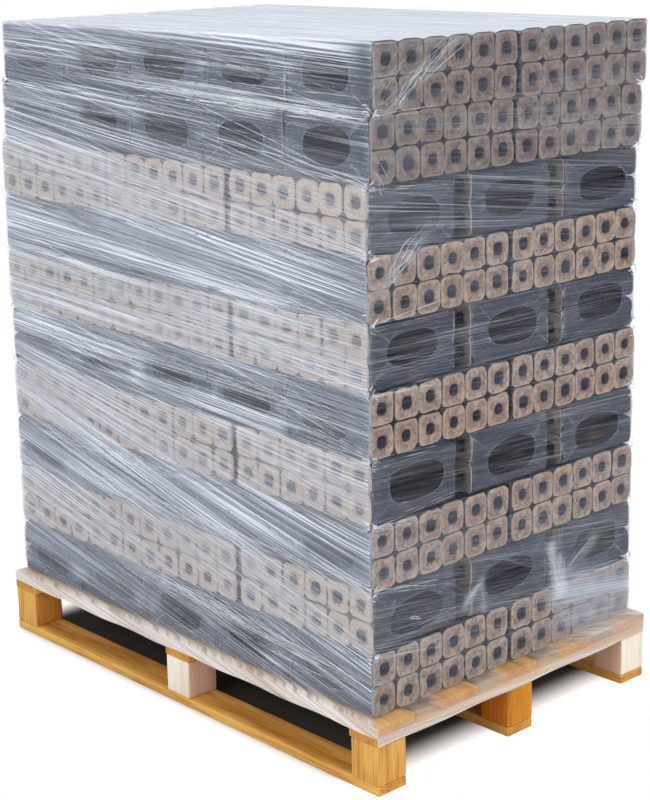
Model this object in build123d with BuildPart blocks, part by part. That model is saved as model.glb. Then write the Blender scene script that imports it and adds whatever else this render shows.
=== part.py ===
from build123d import *
from math import cos, pi, sin
import os

# Pallet load of sawdust fuel briquettes, in millimetres, with Z up.
# The origin lies on the floor under the middle of the pallet, and the long side runs along X.

# Pallet timber
pallet_length = 1200
pallet_width = 800
bottom_board_width = 75
bottom_board_thickness = 20
block_length = 75
block_width = 75
block_height = 80
cross_board_width = 80
cross_board_thickness = 20
deck_board_width = 100
deck_board_thickness = 20
deck_board_count = 5
edge_break = 2

# One briquette: a square bar with cut corners and a bore along its length
briquette_side = 63
briquette_length = 228
briquette_corner = 11
bore_side = 22

# One pack of briquettes, six across and two high
pack_columns = 6
pack_rows = 2

# Gaps between the packs of a layer, beside each other and end to end
# A lengthwise layer has its briquettes along X, a crosswise layer has them along Y
lengthwise_packs = (5, 2)
lengthwise_end_gap = 3
lengthwise_side_gap = 10
crosswise_packs = (3, 3)
crosswise_end_gap = 41
crosswise_side_gap = 9

# Each gap between the ends of two packs stops short of the nearest bore by this wall
gap_floor_wall = 2.5

# Layers from the deck up, and how far each one slid along X and Y as the pallet was stacked
layer_stack = [
    ("lengthwise", -6, 2),
    ("crosswise", -8, 3),
    ("lengthwise", -5, 1),
    ("crosswise", -7, 2),
    ("lengthwise", -5, 3),
    ("crosswise", -8, 2),
    ("lengthwise", -6, 1),
    ("crosswise", -8, 2),
    ("lengthwise", 0, 6),
    ("lengthwise", 6, 10),
]

# Film sleeve of each pack, with an oval opening where the film shrank back from the sides
sleeve_thickness = 1
sleeve_clearance = 0.2
oval_length = 138
oval_height = 66
oval_sides = 6

# Stretch film around the whole load, with its skirt over the edges of the deck
wrap_thickness = 1
wrap_clearance = 0.3
wrap_slack = 4
first_leaning_layer = 8
skirt_rise = 26
long_skirt_drop = 22
short_skirt_drop = 40

# Sizes and heights that follow
block_base = bottom_board_thickness
cross_base = block_base + block_height
deck_base = cross_base + cross_board_thickness
deck_top = deck_base + deck_board_thickness
pack_width = pack_columns * briquette_side
layer_height = pack_rows * briquette_side
layer_bases = [deck_top + index * layer_height for index in range(len(layer_stack))]
stack_top = deck_top + len(layer_stack) * layer_height
gap_depth = (briquette_side - bore_side) / 2 - gap_floor_wall
sleeve_reach = sleeve_clearance + sleeve_thickness

os.makedirs("parts", exist_ok=True)


def save(piece, name):
    piece.part.label = name
    export_step(piece.part, f"parts/{name}.step")


def row_of(count, pitch):
    """Centres of a row of count things about zero."""
    return [(index - (count - 1) / 2) * pitch for index in range(count)]


def timber(name, length, width, thickness, centre_x, centre_y, base_z):
    """A sawn board along X or Y, or a block, with its long edges slightly broken."""
    if length > 2 * width:
        grain = Axis.X
    elif width > 2 * length:
        grain = Axis.Y
    else:
        grain = Axis.Z
    with BuildPart() as board:
        with BuildSketch(Plane.XY.offset(base_z)):
            with Locations((centre_x, centre_y)):
                Rectangle(length, width)
        extrude(amount=thickness)
        chamfer(board.edges().filter_by(grain), edge_break)
    save(board, name)


class Layer:
    """Sizes and planes of one layer of packs. Its local X runs along the briquettes."""

    def __init__(self, kind, slide_x, slide_y, base_z):
        if kind == "lengthwise":
            (self.ends, self.sides), self.end_gap, self.side_gap = (
                lengthwise_packs, lengthwise_end_gap, lengthwise_side_gap)
            along = (1, 0, 0)
        else:
            (self.ends, self.sides), self.end_gap, self.side_gap = (
                crosswise_packs, crosswise_end_gap, crosswise_side_gap)
            along = (0, 1, 0)
        self.end_pitch = briquette_length + self.end_gap
        self.side_pitch = pack_width + self.side_gap
        self.length = self.ends * self.end_pitch - self.end_gap
        self.width = self.sides * self.side_pitch - self.side_gap
        self.ground = Plane(origin=(slide_x, slide_y, base_z), x_dir=along, z_dir=(0, 0, 1))
        middle = (slide_x, slide_y, base_z + layer_height / 2)
        self.end_face = Plane(origin=middle, x_dir=self.ground.y_dir, z_dir=self.ground.x_dir)
        self.side_face = Plane(origin=middle, x_dir=self.ground.x_dir, z_dir=-self.ground.y_dir)
        self.size_x = self.length if kind == "lengthwise" else self.width
        self.size_y = self.width if kind == "lengthwise" else self.length


def pack_gaps(layer, side_depth, end_depth, reach):
    """The plan of the gaps between packs that open on the four faces of a layer."""
    with BuildSketch(layer.ground) as gaps:
        for y in row_of(layer.sides - 1, layer.side_pitch):
            for x in row_of(2, layer.length + 2 * reach - side_depth):
                with Locations((x, y)):
                    Rectangle(side_depth, layer.side_gap)
        for x in row_of(layer.ends - 1, layer.end_pitch):
            for y in row_of(2, layer.width + 2 * reach - end_depth):
                with Locations((x, y)):
                    Rectangle(layer.end_gap, end_depth)
    return gaps.sketch


def briquette_layer(name, layer):
    """The briquettes of a layer: bores and corner gaps run along them, and the pack gaps are cut in."""
    diamond = briquette_corner * 2**0.5
    gaps = pack_gaps(layer, briquette_length, gap_depth, 0)
    with BuildPart() as briquettes:
        with BuildSketch(layer.end_face) as section:
            Rectangle(layer.width, layer_height)
            chamfer(section.vertices(), briquette_corner)
            for x in row_of(layer.sides, layer.side_pitch):
                with Locations((x, 0)):
                    with GridLocations(briquette_side, briquette_side, pack_columns, pack_rows):
                        Rectangle(bore_side, bore_side, mode=Mode.SUBTRACT)
                    with GridLocations(briquette_side, briquette_side, pack_columns - 1, pack_rows - 1):
                        Rectangle(diamond, diamond, rotation=45, mode=Mode.SUBTRACT)
            with Locations((-layer.width / 2, 0), (layer.width / 2, 0)):
                Rectangle(diamond, diamond, rotation=45, mode=Mode.SUBTRACT)
        extrude(amount=layer.length / 2, both=True)
        extrude(gaps, amount=layer_height, mode=Mode.SUBTRACT)
    save(briquettes, name)


def sleeve_layer(name, layer):
    """The sleeves of the outer packs of a layer: film over the briquette ends, ovals at the sides."""
    oval = [
        (oval_length / 2 * cos(angle), oval_height / 2 * sin(angle))
        for angle in [(index + 0.5) * 2 * pi / oval_sides for index in range(oval_sides)]
    ]
    gaps = pack_gaps(layer, sleeve_reach, sleeve_reach, sleeve_reach)
    with BuildPart() as sleeves:
        with BuildSketch(layer.ground):
            Rectangle(layer.length + 2 * sleeve_reach, layer.width + 2 * sleeve_reach)
            Rectangle(layer.length + 2 * sleeve_clearance, layer.width + 2 * sleeve_clearance,
                      mode=Mode.SUBTRACT)
        extrude(amount=layer_height)
        extrude(gaps, amount=layer_height, mode=Mode.SUBTRACT)
        with BuildSketch(layer.side_face):
            for x in row_of(layer.ends, layer.end_pitch):
                with Locations((x, 0)):
                    Polygon(*oval, align=None)
        extrude(amount=layer.width / 2 + sleeve_reach, both=True, mode=Mode.SUBTRACT)
    save(sleeves, name)


# Pallet: three bottom boards, nine blocks, three cross boards and the deck
block_rows = dict(zip(("right", "middle", "left"), row_of(3, (pallet_width - block_width) / 2)))
bottom_rows = dict(zip(("right", "middle", "left"), row_of(3, (pallet_width - bottom_board_width) / 2)))
block_columns = dict(zip(("back", "centre", "front"), row_of(3, (pallet_length - block_length) / 2)))
cross_columns = dict(zip(("back", "centre", "front"), row_of(3, (pallet_length - cross_board_width) / 2)))

for side, y in bottom_rows.items():
    timber(f"bottom_board_{side}", pallet_length, bottom_board_width, bottom_board_thickness, 0, y, 0)
for end, x in block_columns.items():
    for side, y in block_rows.items():
        timber(f"block_{end}_{side}", block_length, block_width, block_height, x, y, block_base)
for end, x in cross_columns.items():
    timber(f"cross_board_{end}", cross_board_width, pallet_width, cross_board_thickness, x, 0, cross_base)
deck_pitch = (pallet_width - deck_board_width) / (deck_board_count - 1)
for number, y in enumerate(row_of(deck_board_count, deck_pitch), start=1):
    timber(f"deck_board_{number}", pallet_length, deck_board_width, deck_board_thickness, 0, y, deck_base)

# Load: ten layers of packs, counted from the deck up
layers = [Layer(*stacked, base) for stacked, base in zip(layer_stack, layer_bases)]
for number, layer in enumerate(layers, start=1):
    briquette_layer(f"briquettes_layer_{number:02d}", layer)
    sleeve_layer(f"pack_sleeves_layer_{number:02d}", layer)

# Stretch film: its rings stand clear of the lower layers, then lean over with the upper ones
load_half_x = max(layer.size_x for layer in layers) / 2 + sleeve_reach + wrap_slack + wrap_clearance
load_half_y = max(layer.size_y for layer in layers) / 2 + sleeve_reach + wrap_slack + wrap_clearance
deck_half_x = pallet_length / 2 + wrap_clearance
deck_half_y = pallet_width / 2 + wrap_clearance
foot_x, foot_y = layer_stack[0][1:]
top_x, top_y = layer_stack[-1][1:]
wrap_rings = [
    (deck_top - long_skirt_drop, 0, 0, deck_half_x, deck_half_y),
    (deck_top + wrap_clearance, 0, 0, deck_half_x, deck_half_y),
    (deck_top + skirt_rise, foot_x, foot_y, load_half_x, load_half_y),
    (layer_bases[first_leaning_layer - 1], foot_x, foot_y, load_half_x, load_half_y),
]
for below in range(first_leaning_layer - 1, len(layer_stack) - 1):
    lower_x, lower_y = layer_stack[below][1:]
    upper_x, upper_y = layer_stack[below + 1][1:]
    middle_x, middle_y = (lower_x + upper_x) / 2, (lower_y + upper_y) / 2
    wrap_rings.append((layer_bases[below + 1], middle_x, middle_y, load_half_x, load_half_y))
wrap_top = stack_top + wrap_clearance

with BuildPart() as wrap:
    for z, x, y, half_x, half_y in wrap_rings + [
        (wrap_top + wrap_thickness, top_x, top_y, load_half_x, load_half_y)
    ]:
        with BuildSketch(Plane.XY.offset(z)):
            with Locations((x, y)):
                Rectangle(2 * (half_x + wrap_thickness), 2 * (half_y + wrap_thickness))
    loft(ruled=True)
    for z, x, y, half_x, half_y in wrap_rings + [
        (wrap_top, top_x, top_y, load_half_x, load_half_y)
    ]:
        with BuildSketch(Plane.XY.offset(z)):
            with Locations((x, y)):
                Rectangle(2 * half_x, 2 * half_y)
    loft(ruled=True, mode=Mode.SUBTRACT)
    # Flaps that reach further down over the ends of the cross boards' faces
    with BuildSketch(Plane.XY.offset(deck_top - short_skirt_drop)):
        for x in row_of(2, 2 * deck_half_x + wrap_thickness):
            with Locations((x, 0)):
                Rectangle(wrap_thickness, 2 * (deck_half_y + wrap_thickness))
    extrude(amount=short_skirt_drop - long_skirt_drop)
save(wrap, "stretch_wrap")
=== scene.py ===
"""Pallet load of fuel briquettes in stretch film: the finish of its timber, briquettes and films.

Every size is in metres. Z is up, the long side of the pallet runs along X, and the corner nearest
to the camera is the one at +X and -Y.
"""
from math import atan2, cos, pi, radians, sin, tau

import bpy
import numpy as np
from bpy.props import FloatProperty, FloatVectorProperty, IntProperty, PointerProperty
from bpy.types import Operator, Panel, PropertyGroup
from mathutils import Matrix, Vector


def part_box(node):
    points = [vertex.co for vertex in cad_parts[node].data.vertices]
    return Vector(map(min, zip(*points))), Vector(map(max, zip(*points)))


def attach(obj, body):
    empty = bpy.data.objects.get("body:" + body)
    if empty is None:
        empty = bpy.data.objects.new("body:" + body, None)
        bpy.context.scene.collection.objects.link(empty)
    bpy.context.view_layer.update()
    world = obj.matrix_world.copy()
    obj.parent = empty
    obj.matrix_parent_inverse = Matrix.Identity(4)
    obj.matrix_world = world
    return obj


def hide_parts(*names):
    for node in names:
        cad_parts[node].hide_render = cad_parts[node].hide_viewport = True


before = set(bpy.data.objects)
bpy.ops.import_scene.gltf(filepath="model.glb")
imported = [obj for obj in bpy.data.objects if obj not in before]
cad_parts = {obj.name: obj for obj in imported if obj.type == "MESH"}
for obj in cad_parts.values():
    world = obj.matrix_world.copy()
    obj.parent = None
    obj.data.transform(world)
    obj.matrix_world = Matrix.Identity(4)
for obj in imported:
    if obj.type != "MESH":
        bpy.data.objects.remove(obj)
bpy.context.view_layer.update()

bl_info = {
    "name": "Pallet load of fuel briquettes",
    "version": (1, 0, 0),
    "blender": (4, 5, 0),
    "location": "3D View > Sidebar > Pallet load",
    "description": "Timber, briquettes, pack sleeves and stretch film of a wrapped pallet load",
    "category": "Add Mesh",
}

# Layers of packs, counted from the deck up
LAYER_COUNT = 10
CROSSWISE_LAYERS = (2, 4, 6, 8)
UPPER_LAYERS = (9, 10)

# One pack: its briquettes, and its size along them, across them and in height
PACK_COLUMNS = 6
PACK_ROWS = 2
BRIQUETTE_SIDE = 0.063
BRIQUETTE_LENGTH = 0.228
PACK_WIDTH = PACK_COLUMNS * BRIQUETTE_SIDE
LAYER_HEIGHT = PACK_ROWS * BRIQUETTE_SIDE

# Packs of a layer along the briquettes and across them, and the gaps between them
LENGTHWISE_PLAN = {"ends": 5, "sides": 2, "end_gap": 0.003, "side_gap": 0.010}
CROSSWISE_PLAN = {"ends": 3, "sides": 3, "end_gap": 0.041, "side_gap": 0.009}

# How far the middle row of packs in a crosswise layer slid across it
MIDDLE_PACK_SLIDE = 0.0042

# The deck's boards, the timbers sawn from paler wood than the rest, and the block under the deck in a deeper
# copy of the golden wood: partly a deeper tone of its own, partly painted shade
DECK_BOARDS = 5
PALE_TIMBERS = ("block_centre_right", "block_front_left")
DEEP_TONE_AND_SHADE_TIMBERS = ("block_front_middle",)

# Greatest distance between two rings of points along a timber
TIMBER_RING_PITCH = 0.03

# How far the ends of the bars inside the load are painted towards the bore colour, as shade, and how far
# those that show in the upper layers are darkened
INNER_END_SHADE = 0.68
UPPER_END_SHADE = 0.55

# Height left free under and over the dark core of a layer, a plain block painted dark as the shade deep
# inside the layer
CORE_CLEARANCE = 0.004

# How far a sleeve's film lies out from the briquettes, and how far its side sheets stop short of a pack's
# edges, which its end sheets pass by as much
SLEEVE_CLEARANCE = 0.0011
SHEET_INSET = 0.0005

# Angles beside each crease of a sleeve that get points of their own
CREASE_STEPS = np.array([-0.03, -0.012, 0.012, 0.03])


def display_colour(red, green, blue):
    """A colour written as it shows on a display, from 0 to 255, as linear values."""
    shares = [value / 255 for value in (red, green, blue)]
    return [share / 12.92 if share <= 0.04045 else ((share + 0.055) / 1.055) ** 2.4 for share in shares]


def colour(name, description, red, green, blue):
    """A colour property whose default is written as it shows on a display."""
    return FloatVectorProperty(name=name, description=description, subtype="COLOR", size=3, min=0, max=1,
                               default=display_colour(red, green, blue))


def length(name, description, metres):
    """A length property."""
    return FloatProperty(name=name, description=description, default=metres, unit="LENGTH", precision=4)


def share(name, description, value):
    """A property from 0 to 1."""
    return FloatProperty(name=name, description=description, default=value, min=0, max=1, subtype="FACTOR")


def number(name, description, value, unit="NONE"):
    """A property for a plain number, a power or an angle."""
    return FloatProperty(name=name, description=description, default=value, unit=unit)


def seed_number(description, value):
    """The seed of the random draws of a group of pieces."""
    return IntProperty(name="Seed", description=description, default=value)


class TimberSettings(PropertyGroup):
    golden: colour("Golden wood", "Colour of most boards and blocks", 230, 181, 94)
    golden_dark: colour("Golden grain", "Colour of the dark grain of the golden wood", 174, 98, 22)
    # A deeper copy of the golden wood: partly the block's own deeper tone, partly painted shade for its place
    # under the deck
    deep_tone_and_shade: colour("Deep wood", "Colour of the darkest block", 222, 150, 38)
    pale: colour("Pale wood", "Colour of the newer blocks", 246, 238, 222)
    pale_dark: colour("Pale grain", "Colour of the dark grain of the pale wood", 220, 200, 168)
    # Painted shade: the colour that the inward faces of the blocks lean to, deeper and darker than the lit
    # wood
    inward_painted_shade: colour("Shaded wood", "Colour that deepens the inward faces of the blocks", 200, 100, 4)
    knot: colour("Knots", "Colour of the knots and of dirt in the end grain", 96, 54, 22)
    edge_round: length("Edge rounding", "Radius of the worn edges", 0.0025)
    unevenness: length("Unevenness", "How far the sawn faces stray from flat", 0.0008)
    seed: seed_number("Seed of the boards' unevenness", 11)


class BriquetteSettings(PropertyGroup):
    end: colour("End", "Colour of the pressed sawdust at the briquette ends", 160, 138, 124)
    end_dark: colour("End mottle", "Colour of the darker patches of the ends", 112, 90, 76)
    dark_chips: colour("Dark chips", "Colour of the dark wood chips in the ends", 96, 76, 64)
    pale_chips: colour("Pale chips", "Colour of the pale wood chips in the ends", 208, 190, 168)
    brown_end: colour("Brown end", "Colour that some of the ends lean to", 138, 108, 90)
    pale_patches: colour("Pale patches", "Colour of the worn patches of the ends", 186, 164, 146)
    bleached: colour("Bleached end", "Colour of the paler ends of the crosswise layers", 222, 203, 183)
    rim: colour("Rim", "Colour of the scorched rim of the ends", 104, 72, 50)
    ring: colour("Ring", "Colour of the pale ring inside the scorched rim", 196, 178, 154)
    side: colour("Side", "Colour of the scorched long sides", 46, 43, 52)
    side_dark: colour("Side grooves", "Colour of the grooves in the long sides", 18, 18, 27)
    scuffs: colour("Scuffs", "Colour of the scuffed patches of the long sides", 84, 66, 56)
    # The bore colour is also painted, as shade, on the dark core of each layer that shows in the gaps, and on
    # the ends inside the load
    bore: colour("Bore", "Colour of the charred bores and of the gaps", 28, 29, 42)
    slack: length("Slack", "Gap between neighbouring briquettes", 0.0005)
    corner: length("Corner radius", "Radius of the long edges", 0.0142)
    bore_side: length("Bore", "Width of the square bore", 0.0232)
    stagger: length("Stagger", "How far a briquette may sit back from its neighbours", 0.0035)
    groove: length("Groove depth", "Depth of the press marks along the sides", 0.0009)
    seed: seed_number("Seed of the briquettes' places and shapes", 7)


class SleeveSettings(PropertyGroup):
    film: colour("Sleeve film", "Colour of the shrunk film of the packs", 128, 136, 158)
    fold: colour("Sleeve folds", "Colour of the seams and curled lips", 196, 200, 212)
    side_haze: share("Side haze", "How much the thick film beside the ovals hides", 0.21)
    end_haze: share("End haze", "How much the thin film over the briquette ends hides", 0.07)
    oval_length: length("Oval length", "Length of the opening in the sides", 0.138)
    oval_height: length("Oval height", "Height of the opening in the sides", 0.068)
    lip: length("Lip", "Radius of the curled lip of the opening", 0.0012)
    seed: seed_number("Seed of the sleeves' puckers", 23)


class WrapSettings(PropertyGroup):
    film: colour("Stretch film", "Colour of the stretched film", 206, 214, 230)
    shade: colour("Film shade", "Colour of the film between its streaks", 150, 158, 174)
    streak: colour("Streaks", "Colour of the folds and streaks", 246, 250, 255)
    warm: colour("Warm film", "Colour of the film over the deck edges and the tan rows", 238, 226, 218)
    top: colour("Top sheet", "Colour of the sheet over the top", 208, 217, 229)
    column_pitch: length("Column pitch", "Distance between the mesh lines around the load", 0.008)
    corner_radius: length("Corner radius", "Radius of the film round the load's upright edges", 0.010)
    clear: length("Clearance", "Gap between the film and the pack sleeves", 0.0030)
    dip: length("Dip", "How far the film sinks in between two layers", 0.0055)
    fold_count: IntProperty(name="Folds", description="Number of long folds on each long side", default=230)
    seed: seed_number("Seed of the folds", 5)


class StageSettings(PropertyGroup):
    floor: colour("Floor", "Colour of the floor", 244, 244, 244)
    key_power: number("Key lamp", "Power of the lamp above the long side", 60, "POWER")
    fill_power: number("Fill lamp", "Power of the lamp beside the short side", 45, "POWER")
    top_power: number("Top lamp", "Power of the lamp above the load", 52, "POWER")
    ambient: number("Ambient", "Strength of the plain light all round", 0.62)
    camera_place: FloatVectorProperty(name="Camera place", description="Where the camera stands",
                                      default=(2.85238, -2.593468, 1.620522), size=3, unit="LENGTH")
    camera_azimuth: number("Camera azimuth", "Angle of the view round the load", 0.825474, "ROTATION")
    camera_elevation: number("Camera elevation", "Angle of the view above level", 0.225067, "ROTATION")
    camera_roll: number("Camera roll", "Tilt of the picture", -0.01867, "ROTATION")
    camera_lens: number("Focal length", "Focal length in millimetres", 82.35)
    camera_shift: number("Camera shift", "Upright shift of the picture, as a share", -0.0875)


class PalletLoadSettings(PropertyGroup):
    timber: PointerProperty(type=TimberSettings)
    briquettes: PointerProperty(type=BriquetteSettings)
    sleeves: PointerProperty(type=SleeveSettings)
    wrap: PointerProperty(type=WrapSettings)
    stage: PointerProperty(type=StageSettings)


class Nodes:
    """The nodes of a material or of the world, with a short call for each kind that the finishes use."""

    def __init__(self, holder):
        holder.use_nodes = True
        self.holder = holder
        self.tree = holder.node_tree

    def put(self, socket, value):
        if isinstance(value, bpy.types.NodeSocket):
            self.tree.links.new(value, socket)
        elif socket.type == "RGBA":
            socket.default_value = (*value[:3], 1)
        else:
            socket.default_value = value

    def add(self, kind, inputs=(), **settings):
        node = self.tree.nodes.new(kind)
        for key, value in settings.items():
            setattr(node, key, value)
        for key, value in dict(inputs).items():
            self.put(node.inputs[key], value)
        return node

    def shade(self, **values):
        """Set inputs of the material's shader. In their names here, _ stands for a space."""
        shader = self.tree.nodes["Principled BSDF"]
        for key, value in values.items():
            self.put(shader.inputs[key.replace("_", " ")], value)

    def value(self, name):
        return self.add("ShaderNodeAttribute", attribute_name=name).outputs["Fac"]

    def vector(self, name):
        return self.add("ShaderNodeAttribute", attribute_name=name).outputs["Vector"]

    def move(self, operation, vector, other=(0, 0, 0), output="Vector"):
        return self.add("ShaderNodeVectorMath", {0: vector, 1: other}, operation=operation).outputs[output]

    def noise(self, vector, scale, detail, roughness=0.5, flat=False):
        return self.add("ShaderNodeTexNoise", {"Vector": vector, "Scale": scale, "Detail": detail,
                                               "Roughness": roughness},
                        noise_dimensions="2D" if flat else "3D").outputs["Fac"]

    def grain(self, vector, factors, detail, roughness=0.5):
        """Noise drawn out by a factor along each axis. A last factor of 0 makes it flat."""
        return self.noise(self.move("MULTIPLY", vector, factors), 1, detail, roughness, factors[2] == 0)

    def ramp(self, value, low, high, to_low=0.0, to_high=1.0):
        return self.add("ShaderNodeMapRange", {"Value": value, "From Min": low, "From Max": high,
                                               "To Min": to_low, "To Max": to_high},
                        interpolation_type="SMOOTHSTEP").outputs[0]

    def calc(self, operation, first, second, clamp=False):
        return self.add("ShaderNodeMath", {0: first, 1: second}, operation=operation,
                        use_clamp=clamp).outputs[0]

    def plus(self, first, second, clamp=False):
        return self.calc("ADD", first, second, clamp)

    def times(self, first, second, clamp=False):
        return self.calc("MULTIPLY", first, second, clamp)

    def mix(self, factor, first, second):
        return self.add("ShaderNodeMix", {0: factor, 6: first, 7: second}, data_type="RGBA").outputs[2]

    def bump(self, height, strength, distance):
        return self.add("ShaderNodeBump", {"Height": height, "Strength": strength,
                                           "Distance": distance}).outputs[0]


class Shape:
    """Points and faces of one piece, gathered from many small forms, with named values on its points."""

    def __init__(self, *values):
        self.points, self.faces, self.count = [], [], 0
        self.values = {name: [] for name in values}

    def add(self, points, faces, **values):
        """Add one form. Values called flow or place are places in the grain, the others are numbers."""
        points = np.asarray(points, float).reshape(-1, 3)
        self.points.append(points)
        self.faces += [[index + self.count for index in face] for face in faces]
        self.count += len(points)
        for name, parts in self.values.items():
            wanted = (len(points), 3) if name.startswith(("flow", "place")) else len(points)
            parts.append(np.broadcast_to(np.asarray(values.get(name, 0.0), float), wanted))

    def piece(self, name, material, smooth_below=40):
        mesh = bpy.data.meshes.new(name)
        mesh.from_pydata(np.concatenate(self.points).tolist(), [], self.faces)
        mesh.validate()
        for key, parts in self.values.items():
            data = np.concatenate(parts)
            kind, slot = ("FLOAT_VECTOR", "vector") if data.ndim == 2 else ("FLOAT", "value")
            mesh.attributes.new(key, kind, "POINT").data.foreach_set(slot, data.astype(np.float32).ravel())
        mesh.shade_smooth()
        mesh.set_sharp_from_angle(angle=radians(smooth_below))
        mesh.materials.append(material)
        piece = bpy.data.objects.new(name, mesh)
        bpy.context.scene.collection.objects.link(piece)
        return piece


def grid_faces(rows, columns, closed=False, turned=False):
    """Faces between the points of a grid, row by row. A closed grid joins its last column to its first."""
    faces = []
    for start in range(0, (rows - 1) * columns, columns):
        for column in range(columns if closed else columns - 1):
            right = (column + 1) % columns
            faces.append((start + column, start + right, start + columns + right, start + columns + column))
    return turned_over(faces) if turned else faces


def turned_over(faces):
    """Faces that look the other way."""
    return [face[::-1] for face in faces]


def finish_piece(piece, slot, *nodes):
    """Fix a piece to the load and let it stand for its solids, which it hides."""
    if nodes:
        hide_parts(*nodes)
    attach(piece, "root")
    return piece


def rounded_square(half, radius, corner_points, side_points):
    """Points round a square with round corners, starting at its right side, anticlockwise."""
    points = []
    for quarter in range(4):
        turn = quarter * pi / 2
        side = []
        for step in range(side_points):
            side.append((half, (half - radius) * (2 * (step + 0.5) / side_points - 1)))
        for step in range(corner_points):
            angle = (step + 0.5) / corner_points * pi / 2
            side.append((half - radius + radius * cos(angle), half - radius + radius * sin(angle)))
        points += [(x * cos(turn) - y * sin(turn), x * sin(turn) + y * cos(turn)) for x, y in side]
    return np.array(points)


def row_of(count, pitch):
    """Centres of a row of count things about zero."""
    return [(index - (count - 1) / 2) * pitch for index in range(count)]


def smooth_step(value, low, high):
    """0 below low, 1 above high and a soft ramp in between."""
    t = np.clip((np.asarray(value, float) - low) / (high - low), 0, 1)
    return t * t * (3 - 2 * t)


def bell(distance, width):
    """1 at a distance of 0, falling softly to almost nothing at twice the width."""
    return np.exp(-(distance / width) ** 2)


class LayerPlan:
    """Where the packs of one layer lie. Along runs with the briquettes, and across runs over them."""

    def __init__(self, number):
        self.number = number
        self.crosswise = number in CROSSWISE_LAYERS
        plan = CROSSWISE_PLAN if self.crosswise else LENGTHWISE_PLAN
        self.ends, self.sides = plan["ends"], plan["sides"]
        end_pitch, side_pitch = BRIQUETTE_LENGTH + plan["end_gap"], PACK_WIDTH + plan["side_gap"]
        self.low, self.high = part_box(f"briquettes_layer_{number:02d}")
        self.centre = (self.low + self.high) / 2
        self.base = self.low.z
        self.pack_places_along = row_of(self.ends, end_pitch)
        self.pack_places_across = row_of(self.sides, side_pitch)
        if self.crosswise:
            self.pack_places_across[1] += MIDDLE_PACK_SLIDE
        self.half_along = (self.ends * end_pitch - plan["end_gap"]) / 2
        self.half_across = (self.sides * side_pitch - plan["side_gap"]) / 2

    def place(self, along, across, up):
        """Points of the layer's own frame, in the scene's frame."""
        along, across, up = np.broadcast_arrays(along, across, up)
        if self.crosswise:
            return np.stack([self.centre.x - across, self.centre.y + along, up], -1).reshape(-1, 3)
        return np.stack([self.centre.x + along, self.centre.y + across, up], -1).reshape(-1, 3)


def layer_plans():
    """The plans of all layers, from the deck up."""
    return [LayerPlan(number) for number in range(1, LAYER_COUNT + 1)]


def timber_material(name, settings, light, dark, knot):
    """Sawn wood: grain lines along the board, growth bands, knots, dirt in the end grain, and painted shade
    on the inward faces of the blocks.
    """
    nodes = Nodes(bpy.data.materials.new(name))
    place = nodes.vector("place")
    broad = nodes.grain(place, (3, 26, 26), 3, 0.55)
    lines = nodes.grain(place, (9, 210, 210), 2, 0.6)
    fibre = nodes.grain(place, (30, 900, 900), 1, 0.6)
    grain = nodes.plus(nodes.ramp(broad, 0.35, 0.7, 0, 0.55), nodes.ramp(lines, 0.45, 0.75, 0, 0.55), True)
    base = nodes.mix(grain, light, dark)
    knots = nodes.add("ShaderNodeTexVoronoi", {"Vector": nodes.move("MULTIPLY", place, (2.4, 11, 11)),
                                               "Scale": 1.0}, feature="F1").outputs["Distance"]
    knotted = nodes.ramp(nodes.plus(knots, nodes.times(lines, 0.06)), 0.075, 0.16, 0.85, 0)
    base = nodes.mix(knotted, base, knot)
    # Painted shade: the inward faces of the blocks lean part way to the shaded colour
    base = nodes.mix(nodes.times(nodes.value("inside"), 0.42), base, settings.inward_painted_shade)
    end = nodes.times(nodes.value("end_grain"), nodes.ramp(lines, 0.3, 0.8, 0.25, 0.6))
    base = nodes.mix(end, base, dark)
    dirt = nodes.ramp(nodes.noise(place, 38, 3, 0.65), 0.6, 0.78, 0, 0.35)
    base = nodes.mix(nodes.times(dirt, nodes.ramp(nodes.value("wear"), 0, 1, 0.45, 1)), base, knot)
    height = nodes.plus(nodes.times(lines, 0.6), nodes.times(fibre, 0.5))
    nodes.shade(Base_Color=base, Roughness=nodes.ramp(lines, 0.2, 0.8, 0.82, 0.62), Specular_IOR_Level=0.25,
                Normal=nodes.bump(height, 0.45, 0.0012))
    return nodes.holder


def timber_outline(half_u, half_v, worn):
    """Points round a board's section with worn edges, the outward way of each, and which lie on an edge."""
    corners = ((1, 1), (-1, 1), (-1, -1), (1, -1))
    spots = []
    for quarter, (u, v) in enumerate(corners):
        next_u, next_v = corners[(quarter + 1) % 4]
        spots += [(u, v, (quarter + step / 3) * pi / 2, 1) for step in range(4)]
        spots += [(u + (next_u - u) * passed, v + (next_v - v) * passed, (quarter + 1) * pi / 2, 0)
                  for passed in (0.25, 0.5, 0.75)]
    ways = np.array([(cos(angle), sin(angle)) for _, _, angle, _ in spots])
    flat = np.array([((half_u - worn) * u, (half_v - worn) * v) for u, v, _, _ in spots])
    return flat + worn * ways, ways, np.array([float(on_edge) for *_, on_edge in spots])


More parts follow.
